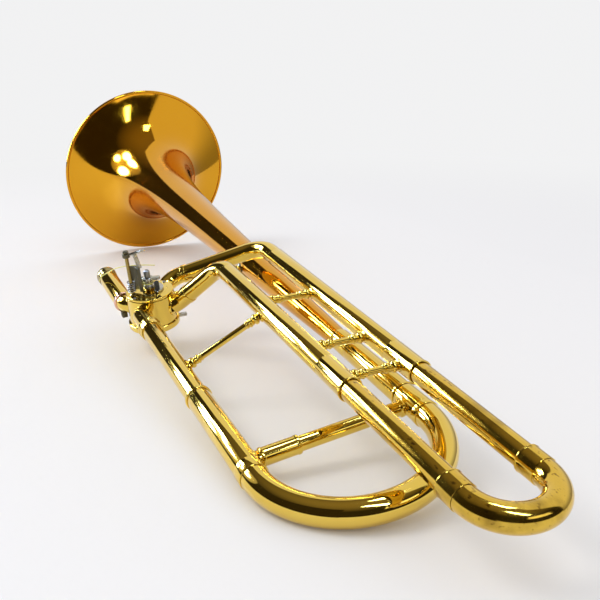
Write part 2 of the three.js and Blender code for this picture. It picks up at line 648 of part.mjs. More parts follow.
function addFBraces() {
  for (const [name, y] of [['f_brace_upper', 44], ['f_brace_middle', -39], ['f_brace_lower', -84]]) {
    const radius = y < F_SEAM_Y ? F_TUBE_RADIUS + 0.2 : F_TUBE_RADIUS;
    const a = axisA.clone().setY(y);
    const b = axisB.clone().setY(y);
    const brace = tubeBrace(a, radius, b, radius, BRACE_RADIUS, [3.2, 6.4, 9.6], [3.2], 4.8);
    piece(instrument, name, brace, yellowBrass);
  }
  const neckFoot = neckAxis.clone().setY(41);
  const tubeFoot = axisB.clone().setY(28);
  piece(instrument, 'neck_brace',
    tubeBrace(tubeFoot, F_TUBE_RADIUS, neckFoot, NECK_RADIUS, BRACE_RADIUS, [3.4, 6.8], [3.4]), yellowBrass);

  // the bell's brace runs from the valve casing to a saddle on the bell's stem
  const stemFoot = vec(0, 195, 0);
  const stemRadius = bellRadius(stemFoot.y) + 0.4;
  const heading = stemFoot.clone().sub(valveCentre).normalize();
  const from = valveCentre.clone().addScaledVector(heading, CASING_RADIUS + FIT_GAP);
  const to = stemFoot.clone().addScaledVector(heading, -(stemRadius + 2.8));
  piece(instrument, 'bell_brace',
    laid(turned(braceProfile(from.distanceTo(to), 2.4, [], [2.4]), SMALL_SIDES), from, to), yellowBrass);
  piece(instrument, 'bell_brace_saddle', saddle(stemFoot, valveCentre, stemRadius, 1.2, 7.5), nickelSilver);
}

// ---- Main tuning slide ---------------------------------------------------------------------

function addTuningSlide() {
  const leftBore = LEFT_SLEEVE_RADIUS - LEFT_SLEEVE_WALL;
  piece(instrument, 'slide_left_sleeve',
    straightTube(LEFT_SLEEVE_RADIUS, leftBore, -92, -2.8), yellowBrass, neckAxis);
  piece(instrument, 'slide_left_ring',
    beadedRing(LEFT_SLEEVE_RADIUS + 0.8, leftBore, -2.5, 0.4), yellowBrass, neckAxis);
  piece(instrument, 'slide_right_leg',
    straightTube(RIGHT_LEG_RADIUS, RIGHT_LEG_RADIUS - SLIDE_WALL, -96, -10), yellowBrass);
  piece(instrument, 'slide_right_ferrule',
    beadedRing(BELL_SLEEVE_RADIUS + 0.5, RIGHT_LEG_RADIUS + FIT_GAP, -96.5, BELL_SLEEVE_END_Y - 0.6),
    yellowBrass);

  const radius = SLIDE_WIDTH / 2;
  const middle = vec(-radius, SLIDE_CROOK_Y, 0);
  const path = new SpaceArc(middle, vec(1, 0, 0), vec(0, -1, 0), radius, Math.PI);
  piece(instrument, 'tuning_crook', sweptTube(path, CROOK_RADIUS, CROOK_WALL, 18), yellowBrass);
  for (const [side, place, y] of [['right', vec(0, 0, 0), -96.8], ['left', neckAxis, -92.3]]) {
    const ferrule = beadedRing(CROOK_RADIUS + 0.7, 7.9, SLIDE_CROOK_Y + FIT_GAP, y);
    piece(instrument, `crook_ferrule_${side}`, ferrule, yellowBrass, place);
  }

  const left = neckAxis.clone().setY(TUNING_BRACE_Y);
  const right = vec(0, TUNING_BRACE_Y, 0);
  // the brace is a wide tube with a small vent on its underside
  const bar = tubeBrace(right, BELL_SLEEVE_RADIUS + 0.5, left, LEFT_SLEEVE_RADIUS,
    TUNING_BRACE_RADIUS, [], [], TUNING_BRACE_RADIUS + 0.6);
  const hollow = TUNING_BRACE_RADIUS - 0.6;
  const inside = turned([[0, 0], [hollow, 0], [hollow, SLIDE_WIDTH - 30], [0, SLIDE_WIDTH - 30]]);
  const below = -TUNING_BRACE_RADIUS - 1;
  const vent = upright(turned([[0, below], [0.7, below], [0.7, 0], [0, 0]], 6));
  piece(instrument, 'tuning_brace', cut(bar,
    laid(inside, vec(-15, TUNING_BRACE_Y, 0), left),
    vent.translate(-SLIDE_WIDTH / 2, TUNING_BRACE_Y, 0)), yellowBrass);
  const sleeveStart = left.clone().setX(-SLIDE_WIDTH + LEFT_SLEEVE_RADIUS + 2.4);
  const sleeve = beadedRing(TUNING_BRACE_RADIUS + 1, TUNING_BRACE_RADIUS + FIT_GAP, 0, 26, 16);
  piece(instrument, 'tuning_brace_sleeve', laid(sleeve, sleeveStart, right), yellowBrass);
}

// ---- The whole instrument ------------------------------------------------------------------

addBell();
addNeck();
addCasing();
addRotor();
addStopArm();
addBumpers();
addLever();
addString();
addFTube('outlet', axisA, cornerA, [27, 16], 126, 14);
addFTube('inlet', axisB, cornerB, [25, 10], 108, 10);
addFSlide();
addFBraces();
addTuningSlide();

const trombone = new THREE.Group();
trombone.add(instrument);
instrument.rotation.set(THREE.MathUtils.degToRad(PITCH), THREE.MathUtils.degToRad(ROLL), 0);

// stand it on the ground, with the middle of its bounding box over the origin; the loose
// string isn't counted
const box = new THREE.Box3();
trombone.updateMatrixWorld(true);
trombone.traverse((part) => {
  if (part.isMesh && part.name !== 'string_tail') box.expandByObject(part, true);
});
const middle = box.getCenter(new THREE.Vector3());
instrument.position.set(-middle.x, -middle.y, -box.min.z);

export default trombone;
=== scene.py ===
"""Looks for the trombone bell section: polished lacquered brass on a pale glossy table.

Shapes are drawn in the instrument's own frame, in millimetres: +Y along the bell's axis, the
neckpipe at x = -SLIDE_WIDTH, +Z up through the rotary valve. The frame's place in the row frame
comes from the record's joints.
"""

import json
import math

import bmesh
import bpy
from mathutils import Matrix, Vector


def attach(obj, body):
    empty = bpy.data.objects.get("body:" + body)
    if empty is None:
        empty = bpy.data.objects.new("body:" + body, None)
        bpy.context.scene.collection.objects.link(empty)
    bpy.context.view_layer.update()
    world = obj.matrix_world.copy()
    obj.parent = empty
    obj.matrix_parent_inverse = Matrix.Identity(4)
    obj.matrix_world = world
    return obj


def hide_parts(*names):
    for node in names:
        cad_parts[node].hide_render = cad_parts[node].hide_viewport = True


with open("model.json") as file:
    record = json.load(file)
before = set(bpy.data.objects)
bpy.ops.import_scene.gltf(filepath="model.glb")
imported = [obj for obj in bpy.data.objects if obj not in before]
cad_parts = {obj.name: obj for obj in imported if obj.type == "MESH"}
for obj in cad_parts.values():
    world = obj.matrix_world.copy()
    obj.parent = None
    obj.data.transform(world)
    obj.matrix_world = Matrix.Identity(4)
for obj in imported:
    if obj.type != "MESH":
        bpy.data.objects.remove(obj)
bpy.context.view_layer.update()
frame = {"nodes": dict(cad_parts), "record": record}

# ---- The instrument's frame ------------------------------------------------------------------

VALVE_X, VALVE_Y, VALVE_Z = -109.0, 167.0, -2.0
joints = {joint["name"]: joint for joint in frame["record"]["behaviour"]["joints"]}
ALONG = -Vector(joints["main_slide_pull"]["axis"]).normalized()
UP = Vector(joints["rotor_turn"]["axis"]).normalized()
SIDE = ALONG.cross(UP).normalized()
MM = 0.001
ORIGIN = Vector(joints["rotor_turn"]["pos_m"]) - (SIDE * VALVE_X + ALONG * VALVE_Y + UP * VALVE_Z) * MM
TO_ROW = Matrix.Translation(ORIGIN) @ Matrix((SIDE, ALONG, UP)).transposed().to_4x4() @ Matrix.Scale(MM, 4)

BELL, ROTOR, LEVER = "bell_section", "rotor_body", "lever_body"
MAIN_SLIDE, F_SLIDE = "main_tuning_slide", "f_tuning_slide"


def row(x, y, z):
    """A point of the instrument's frame, in mm, as a point of the row frame, in metres."""
    return TO_ROW @ Vector((x, y, z))


def row_direction(x, y, z):
    return (SIDE * x + ALONG * y + UP * z).normalized()


# ---- Camera ----------------------------------------------------------------------------------

# place and directions in the instrument's frame, from a perspective fit of the photograph
CAMERA_PLACE = (-245.5, -463.4, 306.6)
CAMERA_FORWARD = (0.3634, 0.8175, -0.4469)
CAMERA_RIGHT = (0.8968, -0.4369, -0.0700)
FOCAL_LENGTH, SENSOR_WIDTH = 47.48, 36.0

camera_data = bpy.data.cameras.new("camera")
camera_data.lens = FOCAL_LENGTH
camera_data.sensor_width = SENSOR_WIDTH
camera_data.clip_start = 0.01
camera = bpy.data.objects.new("camera", camera_data)
bpy.context.scene.collection.objects.link(camera)
forward = row_direction(*CAMERA_FORWARD)
right = row_direction(*CAMERA_RIGHT)
camera_up = right.cross(forward)
turn = Matrix((right, camera_up, -forward)).transposed().to_4x4()
camera.matrix_world = Matrix.Translation(row(*CAMERA_PLACE)) @ turn
bpy.context.scene.camera = camera
bpy.context.scene.view_settings.view_transform = "Standard"

# ---- Sizes, in mm, as in the CAD ---------------------------------------------------------------

BELL_MOUTH_Y, BELL_TAIL_Y, STEM_TOP_Y = 560.0, 20.0, 300.0
BELL_RADIUS, BELL_TAIL_RADIUS, BELL_WALL = 106.5, 7.9, 0.9
FLARE_LENGTH, FLARE_POWER = 16.0, 0.62
RIM_WIRE_RADIUS = 1.9
SLIDE_WIDTH = 124.0
SLIDE_CROOK_Y, CROOK_RADIUS = -102.0, 9.1
TUNING_BRACE_Y, TUNING_BRACE_RADIUS = -86.0, 5.2
BELL_SLEEVE_RADIUS, LEFT_SLEEVE_RADIUS = 8.95, 9.16
NECK_RADIUS, NECK_TOP_Y, NECK_END_Y = 8.4, 122.0, -82.0
RECEIVER_X = -129.0
RECEIVER_TOP_Y, RECEIVER_END_Y = 255.0, 189.2
CASING_RADIUS, CASING_FOOT_Z = 21.0, -16.5
PORT_TURN, KNUCKLE_RADIUS = 7.0, 7.7
F_A, F_B = (-2.8, 31.8), (-54.0, 36.6)
F_TUBE_RADIUS, F_LEG_RADIUS, F_END_RING_Y, F_SEAM_Y = 8.2, 7.6, -98.6, -66.0
F_FERRULE_Y, F_CROOK_Y = -200.4, -215.0
POST_X, POST_Y, POST_RADIUS, POST_TOP_Z = -15.5, -3.0, 1.6, 54.6
DRUM_RADIUS, DRUM_FROM, DRUM_TO, DRUM_TOP_Z = 9.6, -24.0, 84.0, 39.0
HUB_RADIUS, HUB_GROOVE = 4.8, 0.8
BRACE_RADIUS, BELL_BRACE_Y = 2.5, 195
STRING_RADIUS, STRING_Z = 0.42, 22.0
ROUND = 64                      # sides of a tube
FINE = 128                      # sides of the bell
ON_AXIS = 0.0001                # the radius at which a solid's outline meets its axis

VALVE = Vector((VALVE_X, VALVE_Y, VALVE_Z))
POST = VALVE + Vector((POST_X, POST_Y, 0))

# ---- Materials -------------------------------------------------------------------------------


class Graph:
    """A small helper that adds nodes to a material and joins them."""

    def __init__(self, name):
        self.material = bpy.data.materials.new(name)
        self.material.use_nodes = True
        self.tree = self.material.node_tree
        self.shader = self.tree.nodes["Principled BSDF"]
        self.coords = self.add("ShaderNodeTexCoord").outputs["Object"]

    def add(self, kind, values=(), **settings):
        node = self.tree.nodes.new(kind)
        for key, value in settings.items():
            setattr(node, key, value)
        for key, value in dict(values).items():
            if hasattr(value, "is_linked"):
                self.tree.links.new(value, node.inputs[key])
            else:
                node.inputs[key].default_value = value
        return node

    def link(self, source, target):
        self.tree.links.new(source, target)

    def noise(self, scale, detail=3.0, stretch=(1, 1, 1), distortion=0.0):
        mapped = self.add("ShaderNodeMapping", {"Vector": self.coords, "Scale": stretch})
        return self.add("ShaderNodeTexNoise", {
            "Vector": mapped.outputs["Vector"], "Scale": scale, "Detail": detail, "Distortion": distortion,
        }).outputs["Fac"]

    def ranged(self, value, low, high, to_low=0.0, to_high=1.0):
        return self.add("ShaderNodeMapRange", {
            "Value": value, "From Min": low, "From Max": high, "To Min": to_low, "To Max": to_high,
        }).outputs["Result"]

    def mixed(self, factor, a, b):
        node = self.add("ShaderNodeMix", data_type="RGBA")
        self.link(factor, node.inputs["Factor"])
        for key, value in (("A", a), ("B", b)):
            socket = [s for s in node.inputs if s.name == key and s.type == "RGBA"][0]
            if hasattr(value, "is_linked"):
                self.link(value, socket)
            else:
                socket.default_value = (*value, 1)
        return [s for s in node.outputs if s.type == "RGBA"][0]

    def bump(self, heights):
        """Stacks (height, distance in metres) pairs and joins them to the shader's normal."""
        normal = None
        for height, distance in heights:
            node = self.add("ShaderNodeBump", {"Height": height, "Distance": distance, "Strength": 1.0})
            if normal is not None:
                self.link(normal, node.inputs["Normal"])
            normal = node.outputs["Normal"]
        self.link(normal, self.shader.inputs["Normal"])


def polished(name, base, deep, roughness, coat=1.0, cloud=0.35, speckle=None, speckle_amount=0.0,
             scratch=0.000004, wave=0.00003):
    """Polished metal: soft colour clouds, smudges in the gloss, fine scratches and dents."""
    graph = Graph(name)
    shader = graph.shader
    shader.inputs["Metallic"].default_value = 1.0
    shader.inputs["Coat Weight"].default_value = coat
    shader.inputs["Coat Roughness"].default_value = 0.04
    clouds = graph.ranged(graph.noise(16, 4), 0.35, 0.75, 0.0, cloud)
    colour = graph.mixed(clouds, base, deep)
    if speckle:
        spots = graph.ranged(graph.noise(420, 3, (1, 0.45, 1)), 0.62, 0.72, 0.0, speckle_amount)
        colour = graph.mixed(spots, colour, speckle)
        stains = graph.ranged(graph.noise(60, 5, (1, 0.6, 1)), 0.55, 0.75, 0.0, speckle_amount * 0.7)
        colour = graph.mixed(stains, colour, speckle)
    graph.link(colour, shader.inputs["Base Color"])
    smudges = graph.noise(95, 6, (1, 0.7, 1), 0.6)
    graph.link(graph.ranged(smudges, 0.35, 0.8, roughness, roughness * 1.9), shader.inputs["Roughness"])
    graph.bump([
        (graph.noise(28, 1), wave),
        (graph.noise(900, 2, (1, 0.08, 1)), scratch),
    ])
    return graph.material


def dull(name, base, deep, roughness, scale, height):
    """A non-metal with a grained surface."""
    graph = Graph(name)
    grain = graph.noise(scale, 4)
    graph.link(graph.mixed(graph.ranged(grain, 0.3, 0.7), base, deep), graph.shader.inputs["Base Color"])
    uneven = graph.ranged(grain, 0.3, 0.7, roughness, min(roughness * 1.3, 1))
    graph.link(uneven, graph.shader.inputs["Roughness"])
    graph.bump([(grain, height)])
    return graph.material


yellow_brass = polished("yellow_brass", (0.81, 0.575, 0.10), (0.71, 0.45, 0.055), 0.055, 0.25)
gold_brass = polished("gold_brass", (0.72, 0.345, 0.016), (0.64, 0.27, 0.010), 0.06, 0.12)
aged_brass = polished("aged_brass", (0.77, 0.51, 0.07), (0.60, 0.36, 0.035), 0.085, 0.15,
                      speckle=(0.16, 0.08, 0.01), speckle_amount=0.8)
# a darker brass: on the lever post it is painted shade, the post being brass that lies in shade; on the
# receiver collar it is simply a darker brass
dark_and_shaded_brass = polished("dark_and_shaded_brass", (0.34, 0.25, 0.07), (0.20, 0.13, 0.03), 0.14, 0.2)
copper_tone = polished("copper_tone", (0.85, 0.52, 0.38), (0.72, 0.38, 0.24), 0.12)
nickel_silver = polished("nickel_silver", (0.52, 0.50, 0.43), (0.33, 0.31, 0.25), 0.22, 0.0,
                         speckle=(0.16, 0.14, 0.09), speckle_amount=0.6, scratch=0.00002)
steel = polished("steel", (0.34, 0.33, 0.31), (0.16, 0.15, 0.14), 0.28, 0.0, scratch=0.00002)
dark_steel = polished("dark_steel", (0.14, 0.125, 0.08), (0.06, 0.05, 0.03), 0.32, 0.0, scratch=0.00002)
rubber = dull("rubber", (0.02, 0.02, 0.02), (0.05, 0.05, 0.045), 0.65, 600, 0.00003)
string_fibre = dull("string_fibre", (0.62, 0.60, 0.12), (0.80, 0.78, 0.30), 0.75, 2500, 0.00006)

# ---- Mesh helpers ----------------------------------------------------------------------------

SHARP = math.radians(32)


def finished(name, mesh, material, body, replaced):
    """A mesh as a piece with its material, on its body, in place of the CAD nodes it replaces."""
    mesh.materials.append(material)
    piece = bpy.data.objects.new(name, mesh)
    bpy.context.scene.collection.objects.link(piece)
    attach(piece, body)
    if replaced:
        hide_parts(*replaced)
    return piece


def made(name, points, faces, material, body, replaced=()):
    """A smooth, closed piece from points in the instrument's frame."""
    mesh = bpy.data.meshes.new(name)
    mesh.from_pydata([TO_ROW @ Vector(point) for point in points], [], faces)
    work = bmesh.new()
    work.from_mesh(mesh)
    bmesh.ops.remove_doubles(work, verts=work.verts, dist=1e-7)
    bmesh.ops.recalc_face_normals(work, faces=work.faces)
    for face in work.faces:
        face.smooth = True
    for edge in work.edges:
        edge.smooth = len(edge.link_faces) == 2 and edge.calc_face_angle(0) < SHARP
    work.to_mesh(mesh)
    work.free()
    return finished(name, mesh, material, body, replaced)


def rings_mesh(rings, closed):
    """Points and faces of a surface through rings of equal size, looped in both ways if closed."""
    count = len(rings[0])
    points = [point for ring in rings for point in ring]
    faces = []
    for i in range(len(rings) if closed else len(rings) - 1):
        a, b = i * count, (i + 1) % len(rings) * count
        for j in range(count):
            k = (j + 1) % count
            faces.append((a + j, a + k, b + k, b + j))
    return points, faces


def frame_about(direction):
    """Two unit vectors at right angles to a direction."""
    direction = direction.normalized()
    other = Vector((0, 0, 1)) if abs(direction.z) < 0.9 else Vector((1, 0, 0))
    u = direction.cross(other).normalized()
    return u, direction.cross(u)


def rounded(profile):
    """A closed outline of (r, s, fillet) corners with each filleted corner turned into an arc."""
    outline = []
    count = len(profile)
    for i, (r, s, fillet) in enumerate(profile):
        corner = Vector((r, s))
        if fillet <= 0:
            outline.append((r, s))
            continue
        back = Vector(profile[i - 1][:2]) - corner
        ahead = Vector(profile[(i + 1) % count][:2]) - corner
        half = back.angle(ahead) / 2
        reach = min(fillet / math.tan(half), back.length * 0.49, ahead.length * 0.49)
        radius = reach * math.tan(half)
        centre = corner + (back.normalized() + ahead.normalized()).normalized() * (radius / math.sin(half))
        start = corner + back.normalized() * reach - centre
        end = corner + ahead.normalized() * reach - centre
        sweep = start.angle_signed(end)
        for k in range(5):
            spoke = start.copy()
            spoke.rotate(Matrix.Rotation(-sweep * k / 4, 2))
            outline.append(tuple(centre + spoke))
    return outline


def lathe(name, profile, start, toward, material, body, replaced=(), sides=ROUND):
    """Turns a closed outline of (radius, distance) about the line from start toward a point."""
    start, toward = Vector(start), Vector(toward)
    axis = (toward - start).normalized()
    u, v = frame_about(axis)
    rings = []
    for r, s in profile:
        ring = []
        for j in range(sides):
            angle = 2 * math.pi * j / sides
            ring.append(start + axis * s + (u * math.cos(angle) + v * math.sin(angle)) * r)
        rings.append(ring)
    points, faces = rings_mesh(rings, closed=True)
    return made(name, points, faces, material, body, replaced)


def along_y(name, profile, x, z, material, body, replaced=(), sides=ROUND):
    return lathe(name, profile, (x, 0, z), (x, 1, z), material, body, replaced, sides)


def upright(name, profile, centre, material, body, replaced=(), sides=ROUND):
    centre = Vector(centre)
    return lathe(name, profile, centre, centre + Vector((0, 0, 1)), material, body, replaced, sides)


def pipe(name, radius, bore, y0, y1, x, z, material, body, edge=0.15):
    """A straight tube along the bell's direction in place of the CAD node of the same name."""
    profile = rounded([(radius, y0, edge), (radius, y1, edge), (bore, y1, 0), (bore, y0, 0)])
    return along_y(name + "_tube", profile, x, z, material, body, [name])


def arc_points(centre, u, v, radius, angle, steps):
    return [centre + u * radius * math.cos(angle * i / steps) + v * radius * math.sin(angle * i / steps)
            for i in range(steps + 1)]


def bent_path(corners, radii):
    """Points along straight stretches through the corners, each inner corner rounded."""
    corners = [Vector(corner) for corner in corners]
    path = [corners[0]]
    for i in range(1, len(corners) - 1):
        back = (corners[i - 1] - corners[i]).normalized()
        ahead = (corners[i + 1] - corners[i]).normalized()
        half = back.angle(ahead) / 2
        radius = radii[i - 1]
        arc_start = corners[i] + back * (radius / math.tan(half))
        centre = corners[i] + (back + ahead).normalized() * (radius / math.sin(half))
        u = (arc_start - centre).normalized()
        straight_from = path[-1]
        path += [straight_from.lerp(arc_start, k / 8) for k in range(1, 8)]
        path += arc_points(centre, u, -back, radius, math.pi - 2 * half, 28)
    path += [path[-1].lerp(corners[-1], k / 8) for k in range(1, 9)]
    return path


def swept(name, path, radius, wall, material, body, replaced=(), sides=ROUND):
    """A tube along a path; wall 0 makes a solid bar with flat ends."""
    tangents = []
    for i in range(len(path)):
        tangents.append((path[min(i + 1, len(path) - 1)] - path[max(i - 1, 0)]).normalized())
    u, _ = frame_about(tangents[0])
    outer, inner = [], []
    for point, tangent in zip(path, tangents):
        u = (u - tangent * u.dot(tangent)).normalized()
        v = tangent.cross(u)
        spokes = [u * math.cos(2 * math.pi * j / sides) + v * math.sin(2 * math.pi * j / sides)
                  for j in range(sides)]
        outer.append([point + spoke * radius for spoke in spokes])
        inner.append([point + spoke * (radius - wall) for spoke in spokes])
    if wall:
        points, faces = rings_mesh(outer + inner[::-1], closed=True)
    else:
        points, faces = rings_mesh(outer, closed=False)
        last = (len(outer) - 1) * sides
        faces += [tuple(range(sides)), tuple(range(last, last + sides))]
    return made(name, points, faces, material, body, replaced)


def polar(radius, degrees, z=0.0):
    angle = math.radians(degrees)
    return Vector((radius * math.cos(angle), radius * math.sin(angle), z))


def slab(name, outline, z0, z1, place, material, body, replaced=(), edge=0.35, tilt=None):
    """A flat plate with softened edges: an outline in x and y raised from z0 to z1."""
    turned = tilt or Matrix.Identity(3)
    count = len(outline)
    bottom = [Vector((p[0], p[1], z0)) for p in outline]
    top = [Vector((p[0], p[1], z1)) for p in outline]
    mesh = bpy.data.meshes.new(name)
    mesh.from_pydata([TO_ROW @ (turned @ p + Vector(place)) for p in bottom + top], [], [
        tuple(range(count)), tuple(range(count, 2 * count)),
        *[(j, (j + 1) % count, count + (j + 1) % count, count + j) for j in range(count)],
    ])
    work = bmesh.new()
    work.from_mesh(mesh)
    bmesh.ops.recalc_face_normals(work, faces=work.faces)
    sharp = [edge_ for edge_ in work.edges if edge_.calc_face_angle(0) > SHARP]
    bmesh.ops.bevel(work, geom=sharp, offset=edge * MM, segments=3, profile=0.5, affect="EDGES")
    for face in work.faces:
        face.smooth = True
    for edge_ in work.edges:
        edge_.smooth = edge_.calc_face_angle(0) < SHARP
    work.to_mesh(mesh)
    work.free()
    return finished(name, mesh, material, body, replaced)


# ---- The string's loose end, the only free cord ------------------------------------------------


def spline(controls, count):
    """Points on a smooth curve through the controls, spaced evenly along each stretch."""
    controls = [Vector(c) for c in controls]
    ends = [controls[0] * 2 - controls[1], *controls, controls[-1] * 2 - controls[-2]]
    points = []
    for i in range(1, len(ends) - 2):
        p0, p1, p2, p3 = ends[i - 1:i + 3]
        for k in range(count):
            t = k / count
            points.append(0.5 * (
                2 * p1 + (p2 - p0) * t + (2 * p0 - 5 * p1 + 4 * p2 - p3) * t ** 2
                + (3 * p1 - p0 - 3 * p2 + p3) * t ** 3))
    return points + [controls[-1]]


tail_route = spline([VALVE + Vector(p) for p in [
    (9, 3, 35), (1, 7.5, 35.6), (-7, 11.5, 35.8), (-14, 19, 34),
    (-20.5, 34, 27.6), (-23.4, 52, 18), (-28, 62, 11.5), (-31, 67, 5),
]], 8)
tail = swept("string_loose_end", tail_route, STRING_RADIUS, 0, string_fibre, BELL, ["string_tail"], 12)

# ---- Bell --------------------------------------------------------------------------------------


def bell_radius(y):
    def horn(at):
        return BELL_RADIUS * (FLARE_LENGTH / (BELL_MOUTH_Y - at + FLARE_LENGTH)) ** FLARE_POWER
    if y >= STEM_TOP_Y:
        return horn(y)
    widening = horn(STEM_TOP_Y) - BELL_TAIL_RADIUS
    return BELL_TAIL_RADIUS + widening * (y - BELL_TAIL_Y) / (STEM_TOP_Y - BELL_TAIL_Y)


def build_bell():
    horn_from = STEM_TOP_Y - 60
    stations = [BELL_TAIL_Y + (horn_from - BELL_TAIL_Y) * i / 24 for i in range(24)]
    # closer together toward the mouth, where the horn turns fast
    stations += [BELL_MOUTH_Y - (BELL_MOUTH_Y - horn_from) * (1 - i / 110) ** 2.4 for i in range(110)]
    lip = BELL_RADIUS - RIM_WIRE_RADIUS - 0.6
    outer = []
    for y in stations:
        radius = bell_radius(y)
        if STEM_TOP_Y - 30 <= y < STEM_TOP_Y + 50:
            # rounds off the joint between the straight cone and the horn curve
            radius = sum(bell_radius(y + shift) for shift in (-16, -8, 0, 8, 16)) / 5
        if radius < lip - 0.5:
            outer.append((radius, y))
    outer.append((lip, BELL_MOUTH_Y - 0.8))
    inner = []
    for i, (r, y) in enumerate(outer):
        r0, y0 = outer[max(i - 1, 0)]
        r1, y1 = outer[min(i + 1, len(outer) - 1)]
        length = math.hypot(r1 - r0, y1 - y0)
        inner.append((r - BELL_WALL * (y1 - y0) / length, y + BELL_WALL * (r1 - r0) / length))
    along_y("bell_flare_and_stem", outer + inner[::-1], 0, 0, gold_brass, BELL, ["bell"], FINE)
    bead = []
    for i in range(20):
        p = polar(RIM_WIRE_RADIUS, 18 * i)
        bead.append((BELL_RADIUS - RIM_WIRE_RADIUS + p.x, BELL_MOUTH_Y - 0.2 + p.y))
    along_y("bell_rolled_rim", bead, 0, 0, gold_brass, BELL, ["bell_rim_bead"], FINE)
    along_y("bell_ferrule", rounded([
        (8.8, -2.3, 0.2), (8.8, 17.5, 0.4), (8.3, 18.4, 0.2), (8.3, 19.7, 0.3),
        (7.4, 19.7, 0), (7.4, -2.3, 0),
    ]), 0, 0, yellow_brass, BELL, ["bell_tail_ferrule"])
    pipe("bell_sleeve", BELL_SLEEVE_RADIUS, 8.5, -71.4, -2.6, 0, 0, yellow_brass, BELL)
    pipe("bell_sleeve_ring", BELL_SLEEVE_RADIUS + 0.9, 8.5, -74.4, -71.7, 0, 0, yellow_brass, BELL, 0.8)


build_bell()

# ---- Braces -----------------------------------------------------------------------------------


# (place from the brace's end, how far it stands out, half its width) of each turned bead
BRACE_BEADS = ((2.8, 1.7, 2.0), (6.1, 0.75, 0.9), (8.1, 1.15, 1.2), (10.6, 0.6, 0.8))


def rod_profile(length, radius, beads_at_start, beads_at_end):
    """A turned rod: round beads near its ends and a slender waist."""
    beads = [*beads_at_start, *[(length - place, swell, half) for place, swell, half in beads_at_end]]
    steps = max(int(length * 4), 40)
    outline = [(ON_AXIS, 0)]
    for i in range(steps + 1):
        s = length * i / steps
        r = radius
        for place, swell, half in beads:
            x = (s - place) / half
            if abs(x) < 1:
                r = max(r, radius + swell * math.sqrt(1 - x * x))
        outline.append((r, s))
    outline.append((ON_AXIS, length))
    return outline


def flange(name, foot, toward, along, tube_radius, reach_along, reach_round, thickness, material, body):
    """A thin shaped plate that hugs a round tube under the end of a brace."""
    foot, along = Vector(foot), Vector(along).normalized()
    outward = Vector(toward) - foot
    outward = (outward - along * outward.dot(along)).normalized()
    across = along.cross(outward)
    spokes, circles = 40, 8
    shells = []
    for lift in (1, 0):
        shell = []
        for i in range(circles + 1):
            rho = i / circles
            ring = []
            for j in range(spokes):
                angle = 2 * math.pi * j / spokes
                # slightly pointed along the tube, like a filed diamond
                shape = 1 - 0.16 * math.sin(angle) ** 2 * math.cos(angle) ** 2 * 4
                s = rho * math.cos(angle) * reach_along * shape
                bend = rho * math.sin(angle) * reach_round * shape / tube_radius
                height = tube_radius + 0.02 + lift * thickness * math.sqrt(max(1 - rho ** 5, 0.0))
                direction = outward * math.cos(bend) + across * math.sin(bend)
                ring.append(foot + along * s + direction * height)
            shell.append(ring)
        shells.append(shell)
    points, faces = [], []
    for shell in shells:
        base = len(points)
        shell_points, shell_faces = rings_mesh(shell, closed=False)
        points += shell_points
        faces += [tuple(base + corner for corner in face) for face in shell_faces]
    # the two shells have the same points along the rim, and made() merges them
    return made(name, points, faces, material, body)


def brace(node, a, radius_a, b, radius_b, rod, beads_a, beads_b, material, body, along=(0, 1, 0)):
    a, b = Vector(a), Vector(b)
    direction = (b - a).normalized()
    start, end = a + direction * (radius_a + 0.2), b - direction * (radius_b + 0.2)
    lathe(node + "_rod", rod_profile((end - start).length, rod, beads_a, beads_b), start, end,
          material, body, [node], 32)
    flange(node + "_foot_a", a, b, along, radius_a, rod * 2.5, rod * 1.9, 1.1, material, body)
    flange(node + "_foot_b", b, a, along, radius_b, rod * 2.5, rod * 1.9, 1.1, material, body)


def build_braces():
    for node, y in (("f_brace_upper", 44), ("f_brace_middle", -39), ("f_brace_lower", -84)):
        radius = F_TUBE_RADIUS + (0.2 if y < F_SEAM_Y else 0)
        brace(node, (F_A[0], y, F_A[1]), radius, (F_B[0], y, F_B[1]), radius, BRACE_RADIUS,
              BRACE_BEADS, BRACE_BEADS, yellow_brass, BELL)
    brace("neck_brace", (F_B[0], 28, F_B[1]), F_TUBE_RADIUS, (-SLIDE_WIDTH, 41, 0), NECK_RADIUS,
          BRACE_RADIUS, BRACE_BEADS, BRACE_BEADS, yellow_brass, BELL)
    stem = Vector((0, BELL_BRACE_Y, 0))
    stem_radius = bell_radius(BELL_BRACE_Y)
    heading = (stem - VALVE).normalized()
    start = VALVE + heading * (CASING_RADIUS - 0.2)
    end = stem - heading * (stem_radius + 1.4)
    profile = rod_profile((end - start).length, 2.4, BRACE_BEADS[:2], BRACE_BEADS[:2])
    lathe("bell_brace_rod", profile, start, end, yellow_brass, BELL, ["bell_brace"], 32)
    saddle = flange("bell_saddle", stem, VALVE, (0, 1, 0), stem_radius + 0.5, 7.4, 7.4, 1.3,
                    nickel_silver, BELL)
    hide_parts("bell_brace_saddle")


build_braces()

# ---- Neckpipe, receiver and the valve's knuckles ---------------------------------------------------


def port_point(port, distance):
    return polar(distance, 45 + 90 * port + PORT_TURN) + VALVE


def port_corner(port, x, z):
    heading = port_point(port, 1) - VALVE
    return Vector((x, VALVE_Y + (x - VALVE_X) * heading.y / heading.x, z))


def port_collar(name, port):
    """The short reinforcing ring where a knuckle is soldered into the casing."""
    lathe(name, rounded([(KNUCKLE_RADIUS + 0.9, 0, 0.3), (KNUCKLE_RADIUS + 0.9, 2.4, 0.5),
                         (KNUCKLE_RADIUS - 0.3, 2.4, 0), (KNUCKLE_RADIUS - 0.3, 0, 0)]),
          port_point(port, CASING_RADIUS - 2.2), port_point(port, 40), yellow_brass, BELL)


